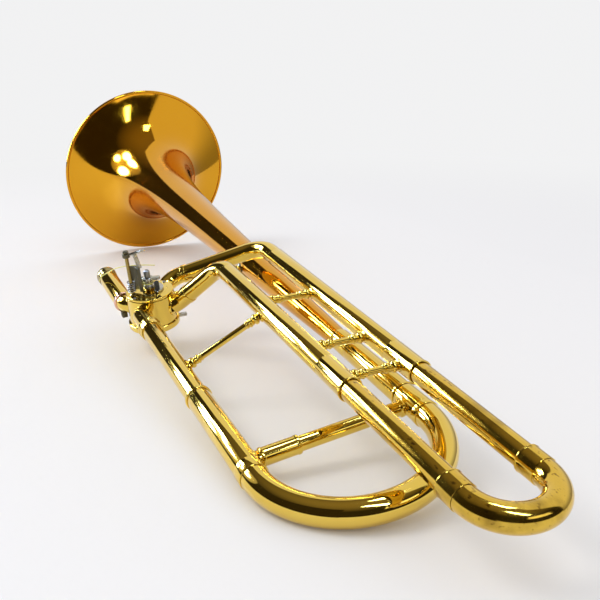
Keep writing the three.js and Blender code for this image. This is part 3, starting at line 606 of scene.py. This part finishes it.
def build_neck():
    x = -SLIDE_WIDTH
    pipe("neckpipe", NECK_RADIUS, 7.95, NECK_END_Y, NECK_TOP_Y, x, 0, yellow_brass, BELL)
    along_y("neck_ferrule", rounded([
        (9.3, 113.6, 0.3), (9.3, 120.2, 0.2), (9.9, 120.6, 0.4), (9.9, 122.6, 0.5),
        (7.9, 123, 0), (8.5, 113.6, 0),
    ]), x, 0, yellow_brass, BELL, ["neckpipe_ferrule"])
    inside = CASING_RADIUS - 1.5
    swept("neck_knuckle",
          bent_path([(x, NECK_TOP_Y - 1, 0), port_corner(2, x, 0), port_point(2, inside)], [12]),
          KNUCKLE_RADIUS, 0.6, yellow_brass, BELL, ["neckpipe_knuckle"])
    foot = (RECEIVER_X, RECEIVER_END_Y - 1, VALVE_Z)
    swept("receiver_elbow",
          bent_path([foot, port_corner(1, RECEIVER_X, VALVE_Z), port_point(1, inside)], [7.9]),
          KNUCKLE_RADIUS, 0.6, yellow_brass, BELL, ["receiver_knuckle"])
    slab("receiver_lug", [(-2.5, -3), (2.5, -3), (2.5, 3), (-2.5, 3)], -2.5, 2.5,
         (RECEIVER_X - 3, VALVE_Y + 14, VALVE_Z - KNUCKLE_RADIUS - 1), dark_steel, BELL, edge=0.6)
    end, top = RECEIVER_END_Y, RECEIVER_TOP_Y
    along_y("receiver_band", rounded([
        (9.2, end - 3.4, 0.4), (9.2, end - 0.2, 0.4), (7.6, end - 0.2, 0), (7.6, end - 3.4, 0),
    ]), RECEIVER_X, VALVE_Z, copper_tone, BELL, ["receiver_ferrule"])
    along_y("receiver_tube", rounded([
        (8.4, end, 0.2), (8.55, top - 17, 0.2), (8.4, top - 11, 0.1), (8.0, top - 10.8, 0),
        (8.0, top, 0.2), (7.3, top, 0.1), (6.8, end, 0),
    ]), RECEIVER_X, VALVE_Z, yellow_brass, BELL, ["slide_receiver"])
    along_y("receiver_end_collar", rounded([
        (8.8, top - 10.7, 0.5), (9.1, top - 5, 0.4), (9.4, top - 3.6, 0.4), (9.4, top - 0.5, 0.9),
        (8.05, top - 0.5, 0.2), (8.05, top - 10.7, 0),
    ]), RECEIVER_X, VALVE_Z, dark_and_shaded_brass, BELL, ["receiver_collar"])
    for port in range(4):
        port_collar(f"port_collar_{port}", port)


build_neck()


def build_valve():
    upright("casing", rounded([
        (20.4, CASING_FOOT_Z, 0.2), (21, CASING_FOOT_Z + 0.9, 0.2), (21, 11.6, 0.2), (20.6, 12.2, 0.2),
        (21, 12.8, 0.3), (20.8, 14.5, 0.6), (15.5, 14.5, 0.2), (15.1, 14.9, 0.2),
        (6.2, 14.9, 0.3), (6.0, 14.5, 0.1), (4.2, 14.5, 0), (4.2, 11.5, 0),
        (18.8, 11.5, 0), (18.8, CASING_FOOT_Z, 0),
    ]), VALVE, yellow_brass, BELL, ["valve_casing"], 96)
    upright("screw_cap", rounded([
        (ON_AXIS, -20.2, 0), (13, -20.2, 0.6), (14, -19.6, 0.4), (19.6, -19.6, 1.2), (22.6, -17.6, 0.9),
        (22.6, -13, 0.6), (21.2, -12.5, 0), (21.2, -17, 0), (ON_AXIS, -17, 0),
    ]), VALVE, yellow_brass, BELL, ["valve_cap"], 96)
    stud_turn, stud_z = -8, -15.4
    lathe("cap_stud", rounded([(ON_AXIS, 0, 0), (1.9, 0, 0), (1.9, 8, 0.7), (ON_AXIS, 8.3, 0)]),
          VALVE + polar(21.2, stud_turn, stud_z), VALVE + polar(60, stud_turn, stud_z),
          nickel_silver, BELL, sides=24)
    groove = HUB_RADIUS - HUB_GROOVE
    upright("rotor_hub", rounded([
        (HUB_RADIUS, 17.3, 0.3), (HUB_RADIUS, 19.6, 0.4), (groove, 20.2, 0.3), (groove, 23.8, 0.3),
        (HUB_RADIUS, 24.4, 0.4), (HUB_RADIUS, 27, 0.4), (2.7, 27, 0), (2.7, 17.3, 0),
    ]), VALVE, nickel_silver, ROTOR, ["stop_arm"], 40)
    arm = [(3.0, -2.4), *[(8.6 + 2.4 * math.cos(a), 2.4 * math.sin(a))
                          for a in [math.radians(-90 + 18 * k) for k in range(11)]], (3.0, 2.4)]
    turned_arm = Matrix.Rotation(math.radians(-20), 3, "Z")
    slab("rotor_stop_finger", arm, 24.5, 26.9, VALVE, nickel_silver, ROTOR, tilt=turned_arm)
    upright("rotor_screw", rounded([
        (ON_AXIS, 24.4, 0), (1.3, 24.4, 0), (1.3, 27.2, 0), (2.8, 27.2, 0.3), (2.8, 32.6, 0.5),
        (1.6, 33.9, 0.3), (ON_AXIS, 34, 0),
    ]), VALVE, steel, ROTOR, ["stop_arm_screw"], 32)
    outline = [polar(12.6, -72 + 194 * k / 24)[:2] for k in range(25)]
    outline += [polar(6.4, 122 - 194 * k / 24)[:2] for k in range(25)]
    slab("stop_plate", outline, 14.9, 16.8, VALVE, nickel_silver, BELL, ["bumper_plate"], 0.4)
    for node, degrees in (("bumper_rest", -52), ("bumper_play", 102)):
        upright(node + "_cork", rounded([
            (ON_AXIS, 16.9, 0), (2.1, 16.9, 0.2), (2.1, 23.5, 0.5), (1.6, 24.3, 0.3), (ON_AXIS, 24.4, 0),
        ]), VALVE + polar(9, degrees), rubber, BELL, [node], 28)
    for degrees in (-150, 150, 30):
        upright(f"plate_screw_{degrees % 360}", rounded([
            (ON_AXIS, 14.3, 0), (1.5, 14.3, 0), (1.5, 15.1, 0.3), (ON_AXIS, 15.3, 0),
        ]), VALVE + polar(18.6, degrees), steel, BELL, sides=20)


build_valve()

# ---- Thumb lever and its string -------------------------------------------------------------------


def build_lever():
    # the post's dark brass is painted shade: the post is brass that lies in shade
    upright("post", rounded([
        (ON_AXIS, 14.7, 0), (3, 14.7, 0.2), (3, 16, 0.4), (POST_RADIUS, 16.8, 0.3),
        (POST_RADIUS, POST_TOP_Z, 0.2), (ON_AXIS, POST_TOP_Z, 0),
    ]), POST, dark_and_shaded_brass, BELL, ["lever_post"], 32)
    nut = [polar(2.55, 60 * k)[:2] for k in range(6)]
    slab("post_nut", nut, POST_TOP_Z + 0.3, POST_TOP_Z + 1.9, POST, dark_steel, BELL,
         ["lever_post_nut"], 0.3)
    barrel_top = POST_TOP_Z - 0.3
    barrel_foot = barrel_top - 3.6
    upright("lever_barrel", rounded([
        (3.2, barrel_foot, 0.5), (3.2, barrel_top, 0.5), (1.9, barrel_top, 0.2), (1.9, barrel_foot, 0.2),
    ]), POST, dark_steel, LEVER, ["thumb_lever"], 40)
    lean = Matrix.Rotation(-0.1, 3, "Y") @ Matrix.Rotation(math.radians(-28), 3, "X")
    outline = [(2.4, -2.4), (8, -4.2)]
    outline += [(11.4 + 5.4 * math.cos(a), 1.2 + 5.4 * math.sin(a))
                for a in [math.radians(-90 + 12 * k) for k in range(1, 16)]]
    outline += [(5, 6.5), (2.4, 2.4)]
    slab("lever_plate", outline, 0, 2.2, POST + Vector((0, 0, barrel_foot + 0.2)), nickel_silver, LEVER,
         edge=0.6, tilt=lean)
    foot, head = Vector((DRUM_RADIUS + 0.4, 1.6, DRUM_TOP_Z - 1.2)), Vector((7.2, 1.6, barrel_foot + 1.4))
    rise = (head - foot).normalized()
    turn_to = Vector((0, 0, 1)).rotation_difference(rise).to_matrix()
    slab("lever_arm", [(-1.8, -1.5), (1.8, -1.5), (1.8, 1.5), (-1.8, 1.5)], 0, (head - foot).length,
         POST + foot, nickel_silver, LEVER, edge=0.45, tilt=turn_to)
    step = (DRUM_TO - DRUM_FROM) / 24
    drum = [polar(DRUM_RADIUS, DRUM_FROM + step * k)[:2] for k in range(25)]
    drum += [polar(DRUM_RADIUS - 3, DRUM_TO - step * k)[:2] for k in range(25)]
    slab("lever_drum", drum, 17.4, DRUM_TOP_Z, POST, dark_steel, LEVER, edge=0.4)
    coil = [POST + polar(3, 360 * 5.5 * k / 220, 18 + 10 * k / 220) for k in range(221)]
    swept("return_spring", coil, 0.45, 0, steel, BELL, ["lever_return_spring"], 10)


def build_string():
    drum_reach = DRUM_RADIUS + STRING_RADIUS + 0.1
    hub_reach = HUB_RADIUS - HUB_GROOVE + STRING_RADIUS + 0.1
    hub = Vector((-POST_X, -POST_Y, 0))
    heading = math.degrees(math.atan2(hub.y, hub.x))
    leaving = math.degrees(math.acos((drum_reach + hub_reach) / hub.length))
    for node, side, lift in (("string_cross_lower", -1, -1.1), ("string_cross_upper", 1, 1.1)):
        on_drum = POST + polar(drum_reach, heading + side * leaving, STRING_Z + lift)
        on_hub = POST + hub + polar(hub_reach, heading + 180 + side * leaving, STRING_Z + lift)
        swept(node + "_line", [on_drum.lerp(on_hub, k / 12) for k in range(13)], STRING_RADIUS, 0,
              string_fibre, BELL, [node], 12)
    first, last = heading + leaving + 3, DRUM_TO - 3
    wrap = [POST + polar(drum_reach, first + (last - first) * k / 30, STRING_Z) for k in range(31)]
    swept("string_drum_wrap", wrap, STRING_RADIUS, 0, string_fibre, LEVER, ["string_on_lever"], 12)
    ring = [(hub_reach + STRING_RADIUS * math.cos(math.radians(30 * k)),
             STRING_Z + STRING_RADIUS * math.sin(math.radians(30 * k))) for k in range(12)]
    upright("string_hub_wrap", ring, VALVE, string_fibre, ROTOR, ["string_on_hub"], 40)


build_lever()
build_string()

# ---- F attachment ------------------------------------------------------------------------------------


def build_f_tube(side, axis, corners, radii, bend_end_y, seam):
    outer, inner, port = (Vector(corner) for corner in corners)
    toward = (outer - inner).normalized()
    seam_at = inner + toward * seam
    swept(f"f_{side}_elbow", bent_path([seam_at, inner, port], [radii[1]]), KNUCKLE_RADIUS, 0.6,
          yellow_brass, BELL, [f"f_{side}_knuckle"])
    lathe(f"f_{side}_seam_ring", rounded([
        (KNUCKLE_RADIUS + 0.6, -2, 0.3), (KNUCKLE_RADIUS + 0.6, 2, 0.3), (KNUCKLE_RADIUS - 0.2, 2, 0),
        (KNUCKLE_RADIUS - 0.2, -2, 0),
    ]), seam_at, outer, yellow_brass, BELL, [f"f_{side}_ferrule"])
    end = Vector((outer.x, bend_end_y, outer.z))
    swept(f"f_{side}_curve", bent_path([seam_at + toward * 0.1, outer, end], [radii[0]]),
          KNUCKLE_RADIUS, 0.6, yellow_brass, BELL, [f"f_{side}_bend"])
    x, z = axis
    pipe(f"f_{side}_leg", F_TUBE_RADIUS, 7.8, F_SEAM_Y, bend_end_y, x, z, yellow_brass, BELL, 0.3)
    along_y(f"f_{side}_sleeve_end", rounded([
        (8.75, F_END_RING_Y, 0.4), (8.75, F_END_RING_Y + 1.6, 0.5), (8.45, F_END_RING_Y + 1.9, 0.1),
        (8.45, F_SEAM_Y - 0.2, 0.2), (7.8, F_SEAM_Y - 0.2, 0), (7.8, F_END_RING_Y, 0.1),
    ]), x, z, yellow_brass, BELL, [f"f_{side}_end_sleeve"])


def build_f_slide():
    for side, (x, z) in (("outlet", F_A), ("inlet", F_B)):
        pipe(f"f_slide_{side}_leg", F_LEG_RADIUS, 7.15, F_CROOK_Y + 1, -62, x, z, aged_brass, F_SLIDE)
        along_y(f"f_slide_{side}_band", rounded([
            (8.7, F_CROOK_Y + 1, 0.3), (8.7, F_FERRULE_Y - 1.4, 0.2), (9.0, F_FERRULE_Y - 1.1, 0.3),
            (9.0, F_FERRULE_Y, 0.4), (7.7, F_FERRULE_Y, 0), (7.7, F_CROOK_Y + 1, 0),
        ]), x, z, aged_brass, F_SLIDE, [f"f_slide_{side}_ferrule"])
    a, b = Vector((F_A[0], 0, F_A[1])), Vector((F_B[0], 0, F_B[1]))
    middle = (a + b) / 2 + Vector((0, F_CROOK_Y + 0.9, 0))
    across = (a - b).normalized()
    path = arc_points(middle, across, Vector((0, -1, 0)), (a - b).length / 2, math.pi, 64)
    swept("f_slide_bow", path, F_TUBE_RADIUS, 0.6, aged_brass, F_SLIDE, ["f_slide_crook"])


build_f_tube("outlet", F_A, [(F_A[0], 156, F_A[1]), (-81, 195, 5.5), port_point(0, CASING_RADIUS - 1.5)],
             [27, 16], 126, 14)
build_f_tube("inlet", F_B, [(F_B[0], 127, F_B[1]), (-86, 153, 2), port_point(3, CASING_RADIUS - 1.5)],
             [25, 10], 108, 10)
build_f_slide()

# ---- Main tuning slide -----------------------------------------------------------------------------


def build_tuning_slide():
    x = -SLIDE_WIDTH
    pipe("slide_left_sleeve", LEFT_SLEEVE_RADIUS, 8.76, -92, -2.8, x, 0, yellow_brass, MAIN_SLIDE)
    pipe("slide_left_ring", LEFT_SLEEVE_RADIUS + 0.8, 8.76, -2.5, 0.4, x, 0, yellow_brass, MAIN_SLIDE, 0.8)
    pipe("slide_right_leg", 8.3, 7.85, -96, -10, 0, 0, aged_brass, MAIN_SLIDE)
    pipe("slide_right_ferrule", BELL_SLEEVE_RADIUS + 0.5, 8.6, -96.5, -75, 0, 0, yellow_brass,
         MAIN_SLIDE, 0.5)
    radius = SLIDE_WIDTH / 2
    path = arc_points(Vector((-radius, SLIDE_CROOK_Y, 0)), Vector((1, 0, 0)), Vector((0, -1, 0)),
                      radius, math.pi, 96)
    swept("main_bow", path, CROOK_RADIUS, 0.5, yellow_brass, MAIN_SLIDE, ["tuning_crook"])
    for node, at, y0 in (("crook_ferrule_right", 0, -96.8), ("crook_ferrule_left", x, -92.3)):
        pipe(node, CROOK_RADIUS + 0.7, 7.9, SLIDE_CROOK_Y + 0.1, y0, at, 0, yellow_brass, MAIN_SLIDE, 0.5)
    left_foot, right_foot = Vector((x, TUNING_BRACE_Y, 0)), Vector((0, TUNING_BRACE_Y, 0))
    start = right_foot - Vector((BELL_SLEEVE_RADIUS + 0.6, 0, 0))
    end = left_foot + Vector((LEFT_SLEEVE_RADIUS + 0.2, 0, 0))
    length = (end - start).length
    lathe("cross_brace", rounded([
        (ON_AXIS, 0, 0), (6.3, 0, 0.2), (6.3, 2.2, 0.8), (TUNING_BRACE_RADIUS, 3.2, 0.8),
        (TUNING_BRACE_RADIUS, length, 0), (ON_AXIS, length, 0),
    ]), start, end, yellow_brass, MAIN_SLIDE, ["tuning_brace"], 48)
    sleeve_start = left_foot + Vector((LEFT_SLEEVE_RADIUS + 1.6, 0, 0))
    lathe("cross_brace_sleeve", rounded([
        (6.5, 0, 0.6), (6.5, 1.6, 0.3), (6.2, 2.2, 0.2), (6.2, 24.2, 0.2), (6.5, 24.8, 0.3),
        (6.5, 26.8, 0.6), (5.1, 26.8, 0), (5.1, 0, 0),
    ]), sleeve_start, right_foot, yellow_brass, MAIN_SLIDE, ["tuning_brace_sleeve"], 48)
    flange("cross_brace_foot_right", right_foot, left_foot, (0, 1, 0), BELL_SLEEVE_RADIUS + 0.5,
           8.2, 7.0, 1.0, yellow_brass, MAIN_SLIDE)
    flange("cross_brace_foot_left", left_foot, right_foot, (0, 1, 0), LEFT_SLEEVE_RADIUS,
           8.2, 7.0, 1.0, yellow_brass, MAIN_SLIDE)


build_tuning_slide()

# the inner valve parts keep the CAD's shape and only take on brass
for node in ("rotor", "rear_bearing_plate"):
    inner_part = frame["nodes"][node]
    inner_part.data.materials.clear()
    inner_part.data.materials.append(aged_brass)

# ---- Table, light and what the metal mirrors ----------------------------------------------------------


def flat_card(name, corners):
    """A flat face of any outline that belongs to the stage and not to the object."""
    mesh = bpy.data.meshes.new(name)
    mesh.from_pydata([Vector(corner) for corner in corners], [], [tuple(range(len(corners)))])
    card = bpy.data.objects.new(name, mesh)
    bpy.context.scene.collection.objects.link(card)
    return card


def glow(name, colour, strength):
    material = bpy.data.materials.new(name)
    material.use_nodes = True
    nodes, links = material.node_tree.nodes, material.node_tree.links
    nodes.clear()
    emission = nodes.new("ShaderNodeEmission")
    emission.inputs["Color"].default_value = (*colour, 1)
    emission.inputs["Strength"].default_value = strength
    links.new(emission.outputs[0], nodes.new("ShaderNodeOutputMaterial").inputs["Surface"])
    return material


def mirror_card(name, corners, colour, strength):
    """A card that only shows in the metal's reflections."""
    card = flat_card(name, corners)
    card.data.materials.append(glow(name, colour, strength))
    card.visible_camera = False
    card.visible_diffuse = False
    card.visible_shadow = False
    card.visible_transmission = False
    return card


def heading_toward(azimuth, elevation):
    """A unit vector in degrees around from +Y toward +X, and up from level."""
    a, e = math.radians(azimuth), math.radians(elevation)
    return Vector((math.sin(a) * math.cos(e), math.cos(a) * math.cos(e), math.sin(e)))


def heading_card(name, origin, spans, colour, strength):
    """A card through (azimuth, elevation, distance) directions seen from a point."""
    corners = [origin + distance * heading_toward(azimuth, elevation)
               for azimuth, elevation, distance in spans]
    return mirror_card(name, corners, colour, strength)


# brass takes nearly all the blue out of a lamp's reflection, so the lamps lean that way
LAMP_BLUE = (0.60, 0.76, 1.1)


def grade(tree, along, low, high, at_low, at_high):
    """Makes a card's light change smoothly between two strengths as a value goes from low to high."""
    emission = [node for node in tree.nodes if node.type == "EMISSION"][0]
    ranged = tree.nodes.new("ShaderNodeMapRange")
    ranged.interpolation_type = "SMOOTHSTEP"
    for key, value in (("From Min", low), ("From Max", high), ("To Min", at_low), ("To Max", at_high)):
        ranged.inputs[key].default_value = value
    tree.links.new(along, ranged.inputs["Value"])
    tree.links.new(ranged.outputs["Result"], emission.inputs["Strength"])


def soft_disc(name, place, colour, middle, edge, start):
    """A round card, placed by a matrix, whose light changes smoothly from its middle to its edge."""
    turns = [2 * math.pi * k / 48 for k in range(48)]
    card = mirror_card(name, [(math.cos(t), math.sin(t), 0) for t in turns], colour, middle)
    card.matrix_world = place
    tree = card.data.materials[0].node_tree
    distance = tree.nodes.new("ShaderNodeVectorMath")
    distance.operation = "LENGTH"
    tree.links.new(tree.nodes.new("ShaderNodeTexCoord").outputs["Object"], distance.inputs[0])
    grade(tree, distance.outputs["Value"], start, 1.0, middle, edge)


def facing_place(origin, azimuth, elevation, distance, radius):
    """Places a unit disc in that direction from a point, facing the point."""
    heading = heading_toward(azimuth, elevation)
    turn = heading.to_track_quat("Z", "Y").to_matrix().to_4x4()
    return Matrix.Translation(origin + heading * distance) @ turn @ Matrix.Scale(radius, 4)


BACKDROP = (0.885, 0.885, 0.89)


def build_table():
    """A pale table that runs without a horizon into the backdrop's tone."""
    size = 14.0
    floor = flat_card("table", [(-size, -size, 0), (size, -size, 0), (size, size, 0), (-size, size, 0)])
    material = bpy.data.materials.new("table")
    material.use_nodes = True
    nodes, links = material.node_tree.nodes, material.node_tree.links
    nodes.clear()
    matt = nodes.new("ShaderNodeBsdfDiffuse")
    matt.inputs["Color"].default_value = (0.91, 0.908, 0.925, 1)
    gloss = nodes.new("ShaderNodeBsdfGlossy")
    gloss.inputs["Roughness"].default_value = 0.38
    blend = nodes.new("ShaderNodeMixShader")
    blend.inputs[0].default_value = 0.02
    links.new(matt.outputs[0], blend.inputs[1])
    links.new(gloss.outputs[0], blend.inputs[2])
    far = nodes.new("ShaderNodeEmission")
    far.inputs["Color"].default_value = (*BACKDROP, 1)
    length = nodes.new("ShaderNodeVectorMath")
    length.operation = "LENGTH"
    fade = nodes.new("ShaderNodeMapRange")
    fade.interpolation_type = "SMOOTHSTEP"
    fade.inputs["From Min"].default_value = 0.45
    fade.inputs["From Max"].default_value = 1.5
    links.new(nodes.new("ShaderNodeTexCoord").outputs["Object"], length.inputs[0])
    links.new(length.outputs["Value"], fade.inputs["Value"])
    sweep = nodes.new("ShaderNodeMixShader")
    links.new(fade.outputs["Result"], sweep.inputs[0])
    links.new(blend.outputs[0], sweep.inputs[1])
    links.new(far.outputs[0], sweep.inputs[2])
    links.new(sweep.outputs[0], nodes.new("ShaderNodeOutputMaterial").inputs["Surface"])
    floor.data.materials.append(material)


def tent_wall(name, corners, foot, top, foot_shade, bright):
    """A pale card with painted shade, darker toward the table."""
    card = mirror_card(name, corners, (1, 0.985, 0.96), bright)
    tree = card.data.materials[0].node_tree
    split = tree.nodes.new("ShaderNodeSeparateXYZ")
    tree.links.new(tree.nodes.new("ShaderNodeTexCoord").outputs["Object"], split.inputs[0])
    grade(tree, split.outputs["Z"], foot, top, foot_shade, bright)


def build_mirrored_room():
    """The photographer's tent and lamps as cards that only the metal shows."""
    flare = row(0, 530, 0)
    back = [(-0.14, 0.62, 0), (0.45, 0.62, 0), (0.45, 0.62, 1.5), (-0.14, 0.62, 0.80)]
    side = [(0.45, 0.62, 0), (0.45, -0.65, 0), (0.45, -0.65, 1.6), (0.45, 0.62, 1.6)]
    # the tent cards carry painted shade along their foot, darker toward the table
    tent_wall("tent_back", back, 0.0, 0.34, 0.55, 0.92)
    tent_wall("tent_right", side, 0.02, 0.26, 0.34, 0.90)
    dark_wall = [(-0.30, -0.62), (-0.62, -0.25), (-1.0, 0.15), (-2.3, 1.2)]
    for index, (a, b) in enumerate(zip(dark_wall, dark_wall[1:])):
        mirror_card(f"dark_room_{index}", [(*a, 0), (*b, 0), (*b, 0.5), (*a, 0.5)], (1, 0.75, 0.4), 0.03)
    soft_disc("soft_box", facing_place(flare, -77, 27, 0.80, 0.36), (1, 0.93, 0.78), 1.1, 0.45, 0.4)
    for index, (azimuth, elevation, radius) in enumerate(
            ((-93, 26, 0.085), (-79, 40, 0.105), (-64, 34, 0.095), (-71, 11, 0.115))):
        soft_disc(f"soft_box_lamp_{index}", facing_place(flare, azimuth, elevation, 0.74, radius),
                  LAMP_BLUE, 40.0, 40.0, 0)
    ceiling = [(144, 73, 1.6), (168, 73, 1.6), (166, 61, 1.6), (147, 60, 1.6)]
    strip = [(-173, 43, 1.6), (-168, 41, 1.6), (-181, 24, 1.6), (-185, 25, 1.6)]
    window = [(158, 10, 1.6), (181, 10, 1.6), (180, 17, 1.6), (160, 18, 1.6)]
    heading_card("ceiling_panel", flare, ceiling, LAMP_BLUE, 25.0)
    heading_card("strip_lamp", flare, strip, LAMP_BLUE, 25.0)
    heading_card("low_window", flare, window, (1, 0.98, 0.92), 1.5)


def build_lamp():
    lamp_data = bpy.data.lights.new("soft_key", "AREA")
    lamp_data.shape = "RECTANGLE"
    lamp_data.size, lamp_data.size_y = 1.1, 1.1
    lamp_data.energy = 16.0
    lamp_data.color = (1, 0.98, 0.95)
    lamp = bpy.data.objects.new("soft_key", lamp_data)
    bpy.context.scene.collection.objects.link(lamp)
    lamp.location = (-1.5, 0.5, 2.0)
    lamp.rotation_euler = (Vector((0, 0, 0.05)) - lamp.location).to_track_quat("-Z", "Y").to_euler()
    lamp.visible_glossy = False
    lamp.visible_camera = False


def build_world():
    """White to the camera, soft white light on dull surfaces, a dim room in the metal."""
    world = bpy.data.worlds.new("studio")
    bpy.context.scene.world = world
    world.use_nodes = True
    nodes, links = world.node_tree.nodes, world.node_tree.links
    nodes.clear()

    def background(colour, strength):
        node = nodes.new("ShaderNodeBackground")
        node.inputs["Color"].default_value = (*colour, 1)
        node.inputs["Strength"].default_value = strength
        return node

    path = nodes.new("ShaderNodeLightPath")
    seen = background(BACKDROP, 1.0)
    dim_room = background((1.0, 0.80, 0.45), 0.03)
    # the room is lighter toward its ceiling
    coords = nodes.new("ShaderNodeTexCoord")
    split = nodes.new("ShaderNodeSeparateXYZ")
    links.new(coords.outputs["Generated"], split.inputs[0])
    rise = nodes.new("ShaderNodeMapRange")
    for key, value in (("From Min", 0.6), ("From Max", 1.0), ("To Min", 0.03), ("To Max", 0.26)):
        rise.inputs[key].default_value = value
    links.new(split.outputs["Z"], rise.inputs["Value"])
    links.new(rise.outputs["Result"], dim_room.inputs["Strength"])
    soft = background((0.99, 0.99, 1.0), 0.84)
    metal_or_soft = nodes.new("ShaderNodeMixShader")
    links.new(path.outputs["Is Glossy Ray"], metal_or_soft.inputs[0])
    links.new(soft.outputs[0], metal_or_soft.inputs[1])
    links.new(dim_room.outputs[0], metal_or_soft.inputs[2])
    seen_or_not = nodes.new("ShaderNodeMixShader")
    links.new(path.outputs["Is Camera Ray"], seen_or_not.inputs[0])
    links.new(metal_or_soft.outputs[0], seen_or_not.inputs[1])
    links.new(seen.outputs[0], seen_or_not.inputs[2])
    links.new(seen_or_not.outputs[0], nodes.new("ShaderNodeOutputWorld").inputs["Surface"])


build_table()
build_mirrored_room()
build_lamp()
build_world()

bpy.context.view_layer.update()
